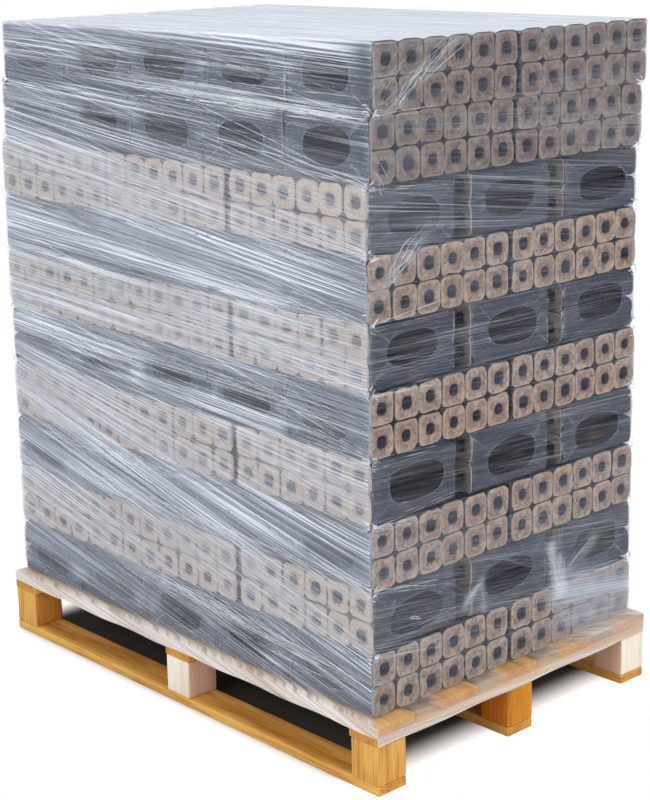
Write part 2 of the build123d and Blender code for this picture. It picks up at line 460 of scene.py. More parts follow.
def timber_piece(name, settings, material, rng):
    """One sawn board or block: worn edges, slightly wavy faces and closed ends."""
    low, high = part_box(name)
    size, centre = high - low, (low + high) / 2
    axis = 2 if name.startswith("block") else max(range(3), key=lambda i: size[i])
    others = [i for i in range(3) if i != axis]
    half, half_u, half_v = size[axis] / 2, size[others[0]] / 2, size[others[1]] / 2
    worn = settings.edge_round
    outline, ways, on_edge = timber_outline(half_u, half_v, worn)
    count = len(outline)
    # Painted shade: mark the faces of a block that look in under the pallet, which the finish paints deeper
    inside = np.zeros(count)
    if axis == 2:
        outward = ways * np.sign(np.round(np.array(centre)[:2], 1))
        inside = np.clip(np.sum(ways**2 * (outward < 0.01), 1), 0, 1)
    steps = max(2, int(round(2 * half / TIMBER_RING_PITCH)))
    stations = [-half, -half + worn * 0.3, *np.linspace(-half + worn, half - worn, steps + 1),
                half - worn * 0.3, half]
    shrink = [worn, worn * 0.3] + [0] * (len(stations) - 4) + [worn * 0.3, worn]
    shift = rng.uniform(-50, 50, 3)
    points = []
    dents = rng.normal(0, 1, (len(stations), count))
    for station, less, row_dents in zip(stations, shrink, dents):
        ring = outline * np.array([1 - less / half_u, 1 - less / half_v])
        inward = settings.unevenness * (0.5 + 0.5 * np.abs(np.convolve(row_dents, [0.25, 0.5, 0.25], "same")))
        ring = ring * (1 - (inward / np.maximum(np.abs(outline).max(1), 0.01))[:, None])
        points.append(np.insert(ring, axis, station, 1))
    points = np.concatenate(points)
    last_ring = count * (len(stations) - 1)
    faces = grid_faces(len(stations), count, closed=True)
    faces += [list(range(count))[::-1], list(range(last_ring, last_ring + count))]
    end_grain = np.zeros(len(points))
    end_grain[:count] = end_grain[last_ring:] = 1
    shape = Shape("place", "wear", "end_grain", "inside")
    shape.add(points + np.array(centre), turned_over(faces) if axis == 1 else faces,
              place=points[:, [axis, *others]] + shift, wear=np.tile(on_edge, len(stations)),
              end_grain=end_grain, inside=np.tile(inside, len(stations)))
    slot = "pale_timber" if name in PALE_TIMBERS else "pallet_timber"
    return finish_piece(shape.piece(f"wood_{name}", material, 30), slot, name)


def briquette_material(settings):
    """Pressed sawdust: mottled tan ends with a scorched rim, grooved dark sides and charred bores."""
    nodes = Nodes(bpy.data.materials.new("pressed_sawdust"))
    place, pale, rim = nodes.vector("place"), nodes.value("pale"), nodes.value("rim")
    patches = nodes.noise(place, 75, 2, 0.7)
    chips = nodes.noise(place, 230, 2, 0.75)
    worn = nodes.noise(place, 48, 1, 0.6)
    rough = nodes.noise(place, 160, 1, 0.6)
    end = nodes.mix(nodes.ramp(patches, 0.38, 0.66, 0, 0.85), settings.end, settings.end_dark)
    end = nodes.mix(nodes.ramp(chips, 0.54, 0.66, 0, 0.75), end, settings.dark_chips)
    end = nodes.mix(nodes.ramp(chips, 0.44, 0.32, 0, 0.65), end, settings.pale_chips)
    end = nodes.mix(nodes.ramp(nodes.value("tone"), 0, 1, 0, 0.6), end, settings.brown_end)
    end = nodes.mix(nodes.ramp(worn, 0.5, 0.64, 0, 0.6), end, settings.pale_patches)
    end = nodes.mix(nodes.times(pale, 0.8), end, settings.bleached)
    rim = nodes.plus(rim, nodes.times(nodes.calc("SUBTRACT", rough, 0.5), 0.9))
    scorch = nodes.times(nodes.ramp(rim, 0.78, 1.02), nodes.ramp(pale, 0, 1, 0.75, 0.42))
    end = nodes.mix(scorch, end, settings.rim)
    end = nodes.mix(nodes.ramp(rim, 0.30, 0.52, 0, 0.4), end, settings.ring)
    end = nodes.mix(nodes.ramp(rim, 0.14, 0.0, 0, 0.5), end, settings.end_dark)
    grooves = nodes.grain(place, (5, 150, 150), 1, 0.6)
    scuffs = nodes.grain(place, (14, 60, 60), 1)
    side = nodes.mix(nodes.ramp(grooves, 0.36, 0.64), settings.side, settings.side_dark)
    side = nodes.mix(nodes.ramp(scuffs, 0.5, 0.8, 0, 0.55), side, settings.scuffs)
    base = nodes.mix(nodes.ramp(nodes.value("end"), 0.25, 0.75), side, end)
    # The bore colour: the charred bores, and painted shade on the dark core and on the ends inside the load
    base = nodes.mix(nodes.ramp(nodes.value("bore"), 0.3, 0.9), base, settings.bore)
    nodes.shade(Base_Color=base, Roughness=nodes.ramp(chips, 0.3, 0.7, 0.78, 0.95), Specular_IOR_Level=0.2,
                Normal=nodes.bump(chips, 0.6, 0.0025))
    return nodes.holder


def add_briquette(shape, layer, settings, rng, along, across, row, end_shown, outer):
    """One bar with a square bore. The end towards end_shown has a fine rim; the other is plain and painted
    dark, as shade inside the load.
    """
    cell_half = BRIQUETTE_SIDE / 2
    half = cell_half - settings.slack / 2 * rng.uniform(0.4, 1.6)
    free = cell_half - half
    outline = rounded_square(half, settings.corner * rng.uniform(0.85, 1.15), 4, 2)
    count = len(outline)
    radii = np.hypot(outline[:, 0], outline[:, 1])
    wave = sum(rng.normal(0, 0.0006) * np.cos(k * np.arange(count) / count * tau + rng.uniform(0, tau))
               for k in (2, 3, 5, 7))
    chips = -0.0032 * np.clip(rng.normal(0, 1, count) - 1.1, 0, 1)
    grooves = rng.uniform(-1, 0, count) * settings.groove
    body, end_ring = (outline * np.minimum((radii + wave + dents) / radii, 1.0)[:, None]
                      for dents in (grooves, chips))
    bore = rounded_square(settings.bore_side / 2 * rng.uniform(0.9, 1.08), settings.bore_side * 0.36, 4, 2)
    back = rng.uniform(0, 1) ** 1.6 * settings.stagger
    front = along + end_shown * BRIQUETTE_LENGTH / 2 - end_shown * back
    rear = along - end_shown * BRIQUETTE_LENGTH / 2
    into = -end_shown
    slant = rng.normal(0, 0.0007, 2)
    # Where each ring lies, its outline, and how much it belongs to an end, to the bore and to the rim
    rings = [
        (front + into * 0.030, bore * 0.97, 0, 1, 0),
        (front + into * 0.0012, bore, 1, 0.75, 0),
        (front, bore * (1 + 0.0020 / settings.bore_side * 2), 1, 0.22, 0),
        (front - into * 0.0001, bore + (end_ring - bore) * 0.35, 1, 0, 0.15),
        (front - into * 0.0001, bore + (end_ring - bore) * 0.78, 1, 0, 0.45),
        (front + into * 0.0003, end_ring * (1 - 0.0012 / half), 1, 0, 0.9),
        (front + into * 0.0022, end_ring, 0.3, 0, 1),
        (front + into * 0.012, body, 0, 0, 1),
        (rear - into * 0.002, body, 0, 0, 1),
        # The plain rear end faces into the load and is painted part way to the bore colour, as shade
        (rear, body * (1 - 0.003 / half), 1, 0.7, 0.9),
        (rear, bore, 1, 0.6, 0),
    ]
    stations, outlines, in_end, in_bore, in_rim = zip(*rings)
    # Painted shade: the ends inside the load are darkened towards the bore colour; the outer ends of the
    # upper layers are darkened too
    dim = INNER_END_SHADE if not outer else UPPER_END_SHADE if layer.number in UPPER_LAYERS else 0
    shift = rng.uniform(-20, 20, 3)
    turn = rng.normal(0, 0.012)
    spin = np.array([[cos(turn), -sin(turn)], [sin(turn), cos(turn)]])
    lift = -free * rng.uniform(-0.9, 0.9), -free * rng.uniform(-0.9, 0.9)
    points, places = [], []
    for station, ring in zip(stations, outlines):
        turned = ring @ spin.T
        tilt = (turned @ slant) / half if abs(station - front) < 0.02 else 0
        turned = turned / np.clip(np.abs(turned).max(0) / cell_half, 1, 2)
        points.append(layer.place(station + into * np.abs(tilt), across + turned[:, 0] + lift[0],
                                  layer.base + (row + 0.5) * BRIQUETTE_SIDE + turned[:, 1] + lift[1]))
        places.append(np.column_stack([np.full(count, station), turned]) + shift)
    shape.add(np.concatenate(points), grid_faces(len(rings), count, closed=True, turned=end_shown > 0),
              place=np.concatenate(places), tone=rng.uniform(), pale=float(layer.crosswise),
              end=np.repeat(in_end, count), rim=np.repeat(in_rim, count),
              bore=np.repeat(np.maximum(in_bore, dim * np.array(in_end)), count))


def box_form(low, high):
    """Points and faces of a plain block."""
    points = [(x, y, z) for x in (low[0], high[0]) for y in (low[1], high[1]) for z in (low[2], high[2])]
    faces = [(0, 1, 3, 2), (4, 6, 7, 5), (0, 4, 5, 1), (2, 3, 7, 6), (0, 2, 6, 4), (1, 5, 7, 3)]
    return points, faces


def briquette_layer(layer, settings, material, rng):
    """The bars of one layer that show, round a middle painted dark as shade."""
    shape = Shape("place", "tone", "end", "bore", "rim", "pale")
    top_layer = layer.number == LAYER_COUNT
    edge_columns = 1 + layer.crosswise
    for end_index, along in enumerate(layer.pack_places_along):
        outer_end = end_index in (0, layer.ends - 1)
        end_shown = 1 if end_index * 2 >= layer.ends else -1
        for side_index, pack_across in enumerate(layer.pack_places_across):
            for column, offset in enumerate(row_of(PACK_COLUMNS, BRIQUETTE_SIDE)):
                edge = (side_index == 0 and column < edge_columns) or (
                    side_index == layer.sides - 1 and column >= PACK_COLUMNS - edge_columns)
                for row in range(PACK_ROWS):
                    if outer_end or edge or (top_layer and row == PACK_ROWS - 1):
                        add_briquette(shape, layer, settings, rng, along, pack_across + offset, row,
                                      end_shown, outer_end)
    inner_along = layer.half_along - BRIQUETTE_LENGTH
    inner_across = layer.half_across - BRIQUETTE_SIDE * edge_columns
    top = layer.base + LAYER_HEIGHT - (BRIQUETTE_SIDE if top_layer else CORE_CLEARANCE)
    corners = layer.place(np.array([-inner_along, inner_along]), np.array([-inner_across, inner_across]),
                          np.array([layer.base + CORE_CLEARANCE, top]))
    # The dark core: a plain block in the bore colour, painted shade that shows in the gaps between the bars
    points, faces = box_form(corners.min(0), corners.max(0))
    shape.add(points, faces, bore=1.0)
    name = f"briquettes_layer_{layer.number:02d}"
    return finish_piece(shape.piece(f"bars_{name}", material, 35), "briquette", name)


def sleeve_material(settings):
    """Shrunk film: bluish and hazy where it is thick, white along folds, clear over the ends."""
    nodes = Nodes(bpy.data.materials.new("shrunk_sleeve_film"))
    place, haze, fold = nodes.vector("place"), nodes.value("haze"), nodes.value("fold")
    wrinkle = nodes.grain(place, (26, 120, 0), 2, 0.55)
    fine = nodes.grain(place, (40, 90, 0), 1, 0.5)
    lines = nodes.ramp(wrinkle, 0.60, 0.72)
    alpha = nodes.times(haze, nodes.ramp(fine, 0.3, 0.7, 0.85, 1.15))
    alpha = nodes.plus(alpha, nodes.times(lines, nodes.times(haze, 0.35)))
    alpha = nodes.plus(alpha, nodes.times(fold, nodes.ramp(fine, 0.25, 0.7, 0.15, 0.75)), True)
    base = nodes.mix(nodes.calc("MAXIMUM", fold, nodes.times(lines, 0.5)), settings.film, settings.fold)
    nodes.shade(Base_Color=base, Alpha=alpha, Roughness=nodes.ramp(fine, 0.3, 0.7, 0.22, 0.42),
                Specular_IOR_Level=0.6, Normal=nodes.bump(wrinkle, 0.5, 0.002))
    return nodes.holder


def squarer(wave, power):
    """A sine or cosine bent so that the oval it draws gets squarer as the power rises above 2."""
    return np.sign(wave) * np.abs(wave) ** (2 / power)


def add_side_sheet(shape, layer, settings, rng, along, face):
    """Film on the long side of a pack, with its oval opening and curled lip."""
    corner_turn = atan2(LAYER_HEIGHT, BRIQUETTE_LENGTH)
    creases = [(turn + rng.normal(0, 0.05), rng.uniform(0.2, 0.75) * (rng.uniform() < 0.6))
               for turn in (corner_turn, pi - corner_turn, pi + corner_turn, tau - corner_turn)]
    beside_creases = [turn + CREASE_STEPS for turn, _ in creases]
    angles = np.sort(np.concatenate([np.arange(40) / 40 * tau, *beside_creases]))
    cosines, sines = np.cos(angles), np.sin(angles)
    around = len(angles)
    crease = sum(white * bell(angles - turn, 0.014) for turn, white in creases)
    seam_white = rng.uniform(0.25, 0.7)
    least, thickness = (0.96, 0.8) if layer.crosswise else (0.86, 1.3)
    half_a = settings.oval_length / 2 * rng.uniform(least, 1.06)
    half_b = settings.oval_height / 2 * rng.uniform(least, 1.08)
    centre_a, centre_b = rng.normal(0, 0.004), rng.normal(0, 0.003)
    wobble = 1
    for waves, swing in ((3, 0.02), (5, 0.012)):
        wobble = wobble + swing * np.cos(waves * angles + rng.uniform(0, tau))
    power, lean = rng.uniform(2.0, 3.0), rng.uniform(-0.16, 0.16)
    oval_a = half_a * squarer(cosines, power) * wobble + centre_a + lean * half_b * sines
    oval_b = half_b * squarer(sines, power) * wobble + centre_b
    reach_a, reach_b = BRIQUETTE_LENGTH / 2 - SHEET_INSET, LAYER_HEIGHT / 2 - SHEET_INSET
    scale = 1 / np.maximum(np.abs(cosines) / reach_a, np.abs(sines) / reach_b)
    edge_a, edge_b = scale * cosines, scale * sines
    pucker = np.cos(17 * angles + rng.uniform(0, tau)) + 0.6 * np.cos(29 * angles + rng.uniform(0, tau))
    # From the oval (0) to the edge of the pack (1), with the rise of the film as a share of the lip
    lip_rings = [(0.0, -0.6), (0.0, 0.6), (0.03, 1.0), (0.09, 0.7)]
    rings = lip_rings + [(t, 0.35) for t in np.linspace(0.2, 1, 5)]
    points, haze, fold, places = [], [], [], []
    for index, (t, rise) in enumerate(rings):
        a = oval_a + (edge_a - oval_a) * t
        b = oval_b + (edge_b - oval_b) * t
        at_seam = smooth_step(np.abs(a) / reach_a, 0.955, 1.0)
        between_layers = smooth_step(np.abs(b) / reach_b, 0.84, 1.0)
        between_rows = bell(b, 0.006) * 0.0035 * smooth_step(t, 0.0, 0.3)
        sink = at_seam * 0.003 + between_layers * 0.0095 + between_rows
        sink = sink - rise * settings.lip * (0.8 if index < len(lip_rings) else 0.25)
        sink = sink - pucker * 0.0006 * (1 - t) ** 2 * (index > 1)
        depth = layer.half_across + SLEEVE_CLEARANCE - np.maximum(sink, -0.0012)
        points.append(layer.place(along + a, face * depth, layer.base + LAYER_HEIGHT / 2 + b))
        lip = 0.30 * rng.uniform(0.3, 1.0) if index < 3 else 0.0
        haze.append(np.full(around, settings.side_haze) * (1 + 0.25 * (1 - t)) * thickness)
        creased = crease * (t > 0.05) * smooth_step(t, 1.05, 0.9)
        fold.append(np.maximum.reduce([np.full(around, lip), creased, seam_white * at_seam]))
        places.append(np.stack([a, b, np.zeros(around)], -1))
    faces = grid_faces(len(rings), around, closed=True, turned=(face > 0) == layer.crosswise)
    shape.add(np.concatenate(points), faces, place=np.concatenate(places) + rng.uniform(-20, 20, 3),
              haze=np.concatenate(haze), fold=np.concatenate(fold))


def add_end_sheet(shape, layer, settings, rng, across, face):
    """Thin film drawn tight over the briquette ends of a pack."""
    columns, rows = 49, 13
    z_inset = 0.0006
    s = np.linspace(-PACK_WIDTH / 2 - SHEET_INSET, PACK_WIDTH / 2 + SHEET_INSET, columns)
    grid_s, grid_z = np.meshgrid(s, np.linspace(z_inset, LAYER_HEIGHT - z_inset, rows))
    joint = np.cos((grid_s / BRIQUETTE_SIDE) * tau + pi) * 0.5 + 0.5
    seam = bell(grid_z - BRIQUETTE_SIDE, 0.006)
    border = smooth_step(np.abs(grid_z - BRIQUETTE_SIDE) / BRIQUETTE_SIDE, 0.86, 1.0)
    upright = smooth_step(np.abs(grid_s) / (PACK_WIDTH / 2), 0.975, 1.0)
    dip = 0.0012 * seam + 0.0008 * (1 - joint) ** 3 + border * (0.003 + 0.004 * (1 - joint)) + upright * 0.006
    out = layer.half_along + SLEEVE_CLEARANCE - dip
    points = layer.place(face * out, across + grid_s, layer.base + grid_z)
    place = np.stack([grid_s.ravel(), grid_z.ravel(), np.zeros(grid_s.size)], -1) + rng.uniform(-20, 20, 3)
    shape.add(points, grid_faces(rows, columns, turned=(face > 0) != layer.crosswise), place=place,
              haze=settings.end_haze, fold=np.maximum(upright * 0.28, border * 0.14).ravel())


def sleeve_layer(layer, settings, material, rng):
    """The sleeves of the outer packs of one layer."""
    shape = Shape("place", "haze", "fold")
    for face in (-1, 1):
        for along in layer.pack_places_along:
            add_side_sheet(shape, layer, settings, rng, along, face)
        for across in layer.pack_places_across:
            add_end_sheet(shape, layer, settings, rng, across, face)
    name = f"pack_sleeves_layer_{layer.number:02d}"
    return finish_piece(shape.piece(f"film_{name}", material, 60), "sleeve_film", name)


# Stretch film: how far its streaks drop, along the long side towards the corner nearest to the camera
# and along the short side away from it, by their height at the middle of the side
LONG_SIDE_STREAKS = ((0.10, -0.14), (0.20, -0.22), (0.45, -0.25), (0.56, -0.18), (0.68, -0.06), (0.92, -0.05),
                     (1.02, -0.12), (1.13, -0.13), (1.22, -0.07), (1.31, -0.05), (1.42, -0.04))
SHORT_SIDE_STREAKS = ((0.10, -0.05), (0.34, -0.18), (0.45, -0.10), (0.60, -0.04), (0.80, 0.0), (0.95, -0.02),
                      (1.08, -0.16), (1.20, -0.10), (1.32, 0.04), (1.42, 0.08))

# How milky the film of the long side is, by height, at its far end and at the near corner
LONG_SIDE_HAZE = ((0.14, 0.26, 0.13), (0.30, 0.32, 0.17), (0.45, 0.56, 0.42), (0.62, 0.43, 0.29),
                  (0.80, 0.45, 0.33), (1.00, 0.51, 0.33), (1.12, 0.44, 0.28), (1.18, 0.32, 0.17),
                  (1.24, 0.26, 0.14), (1.37, 0.24, 0.12), (1.385, 0.45, 0.35), (1.40, 0.6, 0.5))

# Patches of the film: the two ends of each as (along, height), its half width, how much it clears the
# film, how milky it makes it and how white. First the long side's, then the short side's
LONG_SIDE_PATCHES = (
    ((-0.273, 1.331), (-0.123, 1.330), 0.022, 0.55, 0, 0),
    ((-0.063, 1.341), (0.085, 1.336), 0.022, 0.6, 0, 0),
    ((0.145, 1.330), (0.325, 1.315), 0.024, 0.6, 0, 0),
    ((0.400, 1.340), (0.560, 1.325), 0.026, 0.6, 0, 0),
    ((0.560, 1.375), (0.574, 1.300), 0.030, 0.8, 0, 0),
    ((-0.257, 1.222), (-0.131, 1.207), 0.024, 0.5, 0, 0),
    ((-0.064, 1.220), (0.072, 1.210), 0.022, 0.6, 0, 0),
    ((0.178, 1.226), (0.321, 1.214), 0.024, 0.65, 0, 0),
    ((0.409, 1.218), (0.554, 1.205), 0.028, 0.75, 0, 0),
    ((0.336, 1.252), (0.570, 1.246), 0.020, 0.8, 0, 0),
    ((-0.300, 0.691), (-0.158, 0.694), 0.015, 0.75, 0, 0),
    ((-0.078, 0.709), (0.113, 0.708), 0.019, 0.9, 0, 0),
    ((0.153, 0.700), (0.296, 0.700), 0.020, 0.8, 0, 0),
    ((0.352, 0.662), (0.522, 0.668), 0.015, 0.8, 0, 0),
    ((-0.541, 0.440), (-0.416, 0.432), 0.022, 0.5, 0, 0),
    ((0.401, 0.433), (0.530, 0.440), 0.020, 0.4, 0, 0),
    ((-0.536, 0.197), (-0.405, 0.197), 0.028, 0.8, 0.02, 0),
    ((-0.322, 0.187), (-0.176, 0.188), 0.028, 0.8, 0.02, 0),
    ((-0.071, 0.185), (0.063, 0.187), 0.026, 0.55, 0, 0),
    ((0.128, 0.192), (0.247, 0.200), 0.022, 0.6, 0, 0),
    ((-0.550, 0.200), (-0.100, 0.200), 0.055, 0.30, 0.16, 0),
    ((-0.200, 0.995), (0.300, 0.925), 0.045, 0, 0.14, 0.03),
    ((0.186, 0.285), (0.186, 0.380), 0.009, 0.8, 0, 0),
    ((0.186, 0.530), (0.186, 0.635), 0.009, 0.85, 0, 0),
    ((0.186, 0.790), (0.186, 0.880), 0.008, 0.5, 0, 0),
    ((0.186, 1.040), (0.186, 1.130), 0.008, 0.5, 0, 0),
)
SHORT_SIDE_PATCHES = (
    ((0.126, 0.352), (0.150, 0.252), 0.016, 0, 0.20, 0.30),
    ((0.148, 0.318), (0.158, 0.255), 0.018, 0, 0.22, 0.28),
    ((0.155, 0.280), (0.258, 0.332), 0.014, 0, 0.20, 0.06),
    ((0.165, 0.258), (0.387, 0.200), 0.045, 0, 0.44, 0.04),
    ((0.185, 0.215), (0.387, 0.165), 0.055, 0, 0.40, 0),
    ((-0.128, 0.306), (-0.085, 0.333), 0.010, 0, 0.10, 0.24),
    ((-0.085, 0.333), (-0.076, 0.275), 0.009, 0, 0.10, 0.08),
    ((-0.335, 1.280), (-0.163, 1.400), 0.020, 0, 0.06, 0),
    ((-0.367, 0.954), (-0.228, 1.051), 0.020, 0, 0.08, 0),
    ((0.200, 1.087), (0.341, 1.095), 0.034, 0.85, 0, 0),
    ((-0.320, 0.581), (-0.215, 0.581), 0.034, 0.7, 0, 0),
    ((-0.050, 0.581), (0.050, 0.581), 0.034, 0.6, 0, 0),
    ((0.225, 0.581), (0.320, 0.581), 0.034, 0.6, 0, 0),
    ((-0.050, 0.833), (0.330, 0.833), 0.034, 0.45, 0, 0),
    ((-0.040, 0.330), (0.040, 0.330), 0.030, 0.5, 0, 0),
    ((-0.380, 0.330), (-0.180, 0.300), 0.030, 0.35, 0, 0),
)

# The tables of each kind of side: long first, then short
STREAKS = (LONG_SIDE_STREAKS, SHORT_SIDE_STREAKS)
PATCHES = (LONG_SIDE_PATCHES, SHORT_SIDE_PATCHES)

# Sides of the load, anticlockwise from the one at -Y: the axis they face, its sign, and the way along them
SIDE_AXES = ((1, -1, 1), (0, 1, 1), (1, 1, -1), (0, -1, -1))

# Height over which the film passes from one layer's reach to the next one's
REACH_CHANGE = 0.032

# Dips of the film, as depth and half height: in a joint between two rows of ends, beside a joint where
# ends meet long sides and in that joint, and between the two rows of briquettes of one layer
ENDS_DIP = (0.0008, 0.005)
BESIDE_DIP, BESIDE_DIP_AWAY = (0.0026, 0.007), 0.009
MIXED_DIP = (0.0005, 0.004)
LONG_DIP_HALF_HEIGHT = 0.009
ROW_DIP_ENDS, ROW_DIP_SIDES, ROW_DIP_HALF_HEIGHT = 0.0006, 0.0012, 0.006

# How far the film of a side stops short of the upright edges
CORNER_GAP = 0.002

# Where the mesh lines of the walls lie in each layer, as shares of its height. The skirt takes the place
# of the lowest ones
WALL_ROWS = (0.024, 0.06, 0.11, 0.18, 0.28, 0.40, 0.465, 0.5, 0.535, 0.60, 0.72, 0.82, 0.89, 0.94,
             0.976, 1.0)
SKIPPED_WALL_ROWS = 4

# Rows of the skirt over its lowest one: height over the deck, how far in from the deck's edge to the load
# it lies, as a share, and how milky it is
SKIRT_ROWS = ((-0.036, 0.0, 0.52), (-0.024, 0.0, 0.50), (-0.0205, 0.0, 0.46), (-0.010, 0.0, 0.30),
              (-0.001, 0.0, 0.32), (0.0012, 0.10, 0.36), (0.0022, 0.45, 0.30), (0.0035, 0.82, 0.20),
              (0.0075, 0.955, 0.10), (0.016, 0.992, 0.07), (0.026, 1.0, 0.06))
LOWEST_SKIRT_MILK = 0.55
LOWEST_SKIRT_LIFT = 0.001
LONG_SKIRT_DROP = 0.022
SKIRT_CORNER_RADIUS = 0.004
SKIRT_RIPPLE = 0.0014
BOARD_SOFTNESS = 0.006
FOOT_HEIGHT = 0.02

# How deep the film is gathered in at an upright edge where two layers meet
GATHER_DEPTH = 0.0085

# Rows over the top edge of the load: depth under the top of the film, and how far in they lie
BRIM_ROWS = ((0.0055, 0.0), (0.0018, 0.0016), (0.0004, 0.0052))

# How far inside the CAD skin the finished film stays, and where in the top layer its reach is taken
SKIN_MARGIN = 0.0003
TOP_REACH_SHARE = 0.97

# How far the sheet sinks between two bars, at the load's edge and how much less within it
JOINT_SINK = 0.0038
JOINT_SINK_LESS = 0.0012


def shows_ends(layer, side):
    """Whether a layer turns the ends of its briquettes to a side."""
    return layer.crosswise == (side % 2 == 0)


def layer_shares(layers, heights):
    """How much each layer sets the place of the film at each height, with a soft change between them."""
    middles = np.array([layer.base + LAYER_HEIGHT / 2 for layer in layers])
    away = np.abs(np.asarray(heights, float)[..., None] - middles)
    shares = np.clip((LAYER_HEIGHT / 2 + REACH_CHANGE / 2 - away) / REACH_CHANGE, 0, 1)
    nearest = away == away.min(-1, keepdims=True)
    shares = np.where(shares.sum(-1, keepdims=True) > 0, shares, nearest)
    return shares / shares.sum(-1, keepdims=True)


def film_dip(layers, settings, side, heights):
    """How far the film of a side sinks in at each height: deep between two rows of long sides."""
    heights = np.asarray(heights, float)
    total = np.zeros(heights.shape)
    for lower, upper in zip(layers, layers[1:]):
        above = heights - upper.base
        ends_below, ends_above = shows_ends(lower, side), shows_ends(upper, side)
        if ends_below and ends_above:
            total += ENDS_DIP[0] * bell(above, ENDS_DIP[1])
        elif ends_below or ends_above:
            beside = above - BESIDE_DIP_AWAY * (1 if ends_below else -1)
            total += BESIDE_DIP[0] * bell(beside, BESIDE_DIP[1]) + MIXED_DIP[0] * bell(above, MIXED_DIP[1])
        else:
            total += settings.dip * bell(above, LONG_DIP_HALF_HEIGHT)
    for layer in layers:
        depth = ROW_DIP_ENDS if shows_ends(layer, side) else ROW_DIP_SIDES
        total += depth * bell(heights - layer.base - BRIQUETTE_SIDE, ROW_DIP_HALF_HEIGHT)
    return total


def film_reach(layers, settings, side, heights):
    """How far out the film of a side lies at each height, before its dips."""
    axis, sign, _ = SIDE_AXES[side]
    reaches = np.array([sign * (layer.high if sign > 0 else layer.low)[axis] for layer in layers])
    return layer_shares(layers, heights) @ reaches + settings.clear


def film_box(layers, settings, height):
    """The corners in plan of the film at one height, before its dips."""
    front, right, back, left = (float(film_reach(layers, settings, side, height)) for side in range(4))
    return np.array([-left, -front]), np.array([right, back])


def film_place(layers, settings, side, along, heights, lift):
    """Points on the film of a side. Along runs anticlockwise from the middle of the pallet."""
    axis, sign, way = SIDE_AXES[side]
    out = film_reach(layers, settings, side, heights) - film_dip(layers, settings, side, heights) + lift
    before, after = (film_reach(layers, settings, (side + step) % 4, heights) - CORNER_GAP
                     for step in (-1, 1))
    points = np.empty((*out.shape, 3))
    points[..., axis] = sign * out
    points[..., 1 - axis] = way * np.clip(along, -before, after)
    points[..., 2] = heights
    return points


def from_table(table, heights, column=1):
    """The values in a column of a table at each height."""
    return np.interp(heights, [row[0] for row in table], [row[column] for row in table])


def streak_height(along, heights, table):
    """The height at the middle of the side of the streak through each point, from the table of drops."""
    middle = np.asarray(heights, float).copy()
    for _ in range(6):
        middle = heights - along * from_table(table, middle)
    return middle


def patch_strength(along, heights, table, column):
    """How strongly the patches of a table act at each point, in one of their three ways."""
    total = np.zeros(along.shape)
    for start, stop, width, *strengths in table:
        run = np.array(stop) - start
        t = np.clip(((along - start[0]) * run[0] + (heights - start[1]) * run[1]) / (run @ run), 0, 1)
        away = np.hypot(along - start[0] - t * run[0], heights - start[1] - t * run[1])
        total = np.maximum(total, strengths[column] * bell(away, width))
    return total


def film_values(layers, side, along, heights):
    """The film of a side at each point: two flows, haze, strength of streaks, warmth and whiteness."""
    long_side = side % 2 == 0
    middle = streak_height(along, heights, STREAKS[side % 2])
    level = np.zeros(along.shape)
    flow = np.stack([along, middle * (1.0 if long_side else 1.6), level], -1) + 5.0 * side
    cross = np.stack([along, heights + along * (0.21 if long_side else 0.10), level], -1) + 9.0 * side
    ends = layer_shares(layers, heights) @ np.array([float(shows_ends(layer, side)) for layer in layers])
    if long_side:
        far, near = (from_table(LONG_SIDE_HAZE, heights, column) for column in (1, 2))
        haze = far + (near - far) * np.clip(along / 1.15 + 0.5, 0, 1) ** 1.3
        haze = haze + 0.03 + 0.02 * ends
        low_far_corner = smooth_step(heights, 0.31, 0.24) * (1 - smooth_step(along, -0.2, 0.3))
        streaks = (0.78 - 0.44 * ends) * (1 - 0.12 * smooth_step(heights, 1.10, 1.24))
        streaks = streaks * (1 - 0.75 * low_far_corner)
    else:
        haze = 0.03 + 0.015 * np.sin(along * 7 + heights * 9) + (
            0.06 * smooth_step(heights, 0.9, 1.2) + 0.05 * smooth_step(heights, 0.62, 0.45))
        streaks = 0.27 - 0.13 * ends
    clearing, veil, white = (patch_strength(along, heights, PATCHES[side % 2], column) for column in range(3))
    haze = haze * (1 - 0.85 * clearing) + veil
    return flow, cross, haze, streaks * (1 - 0.75 * clearing), 0.25 * ends * long_side, white


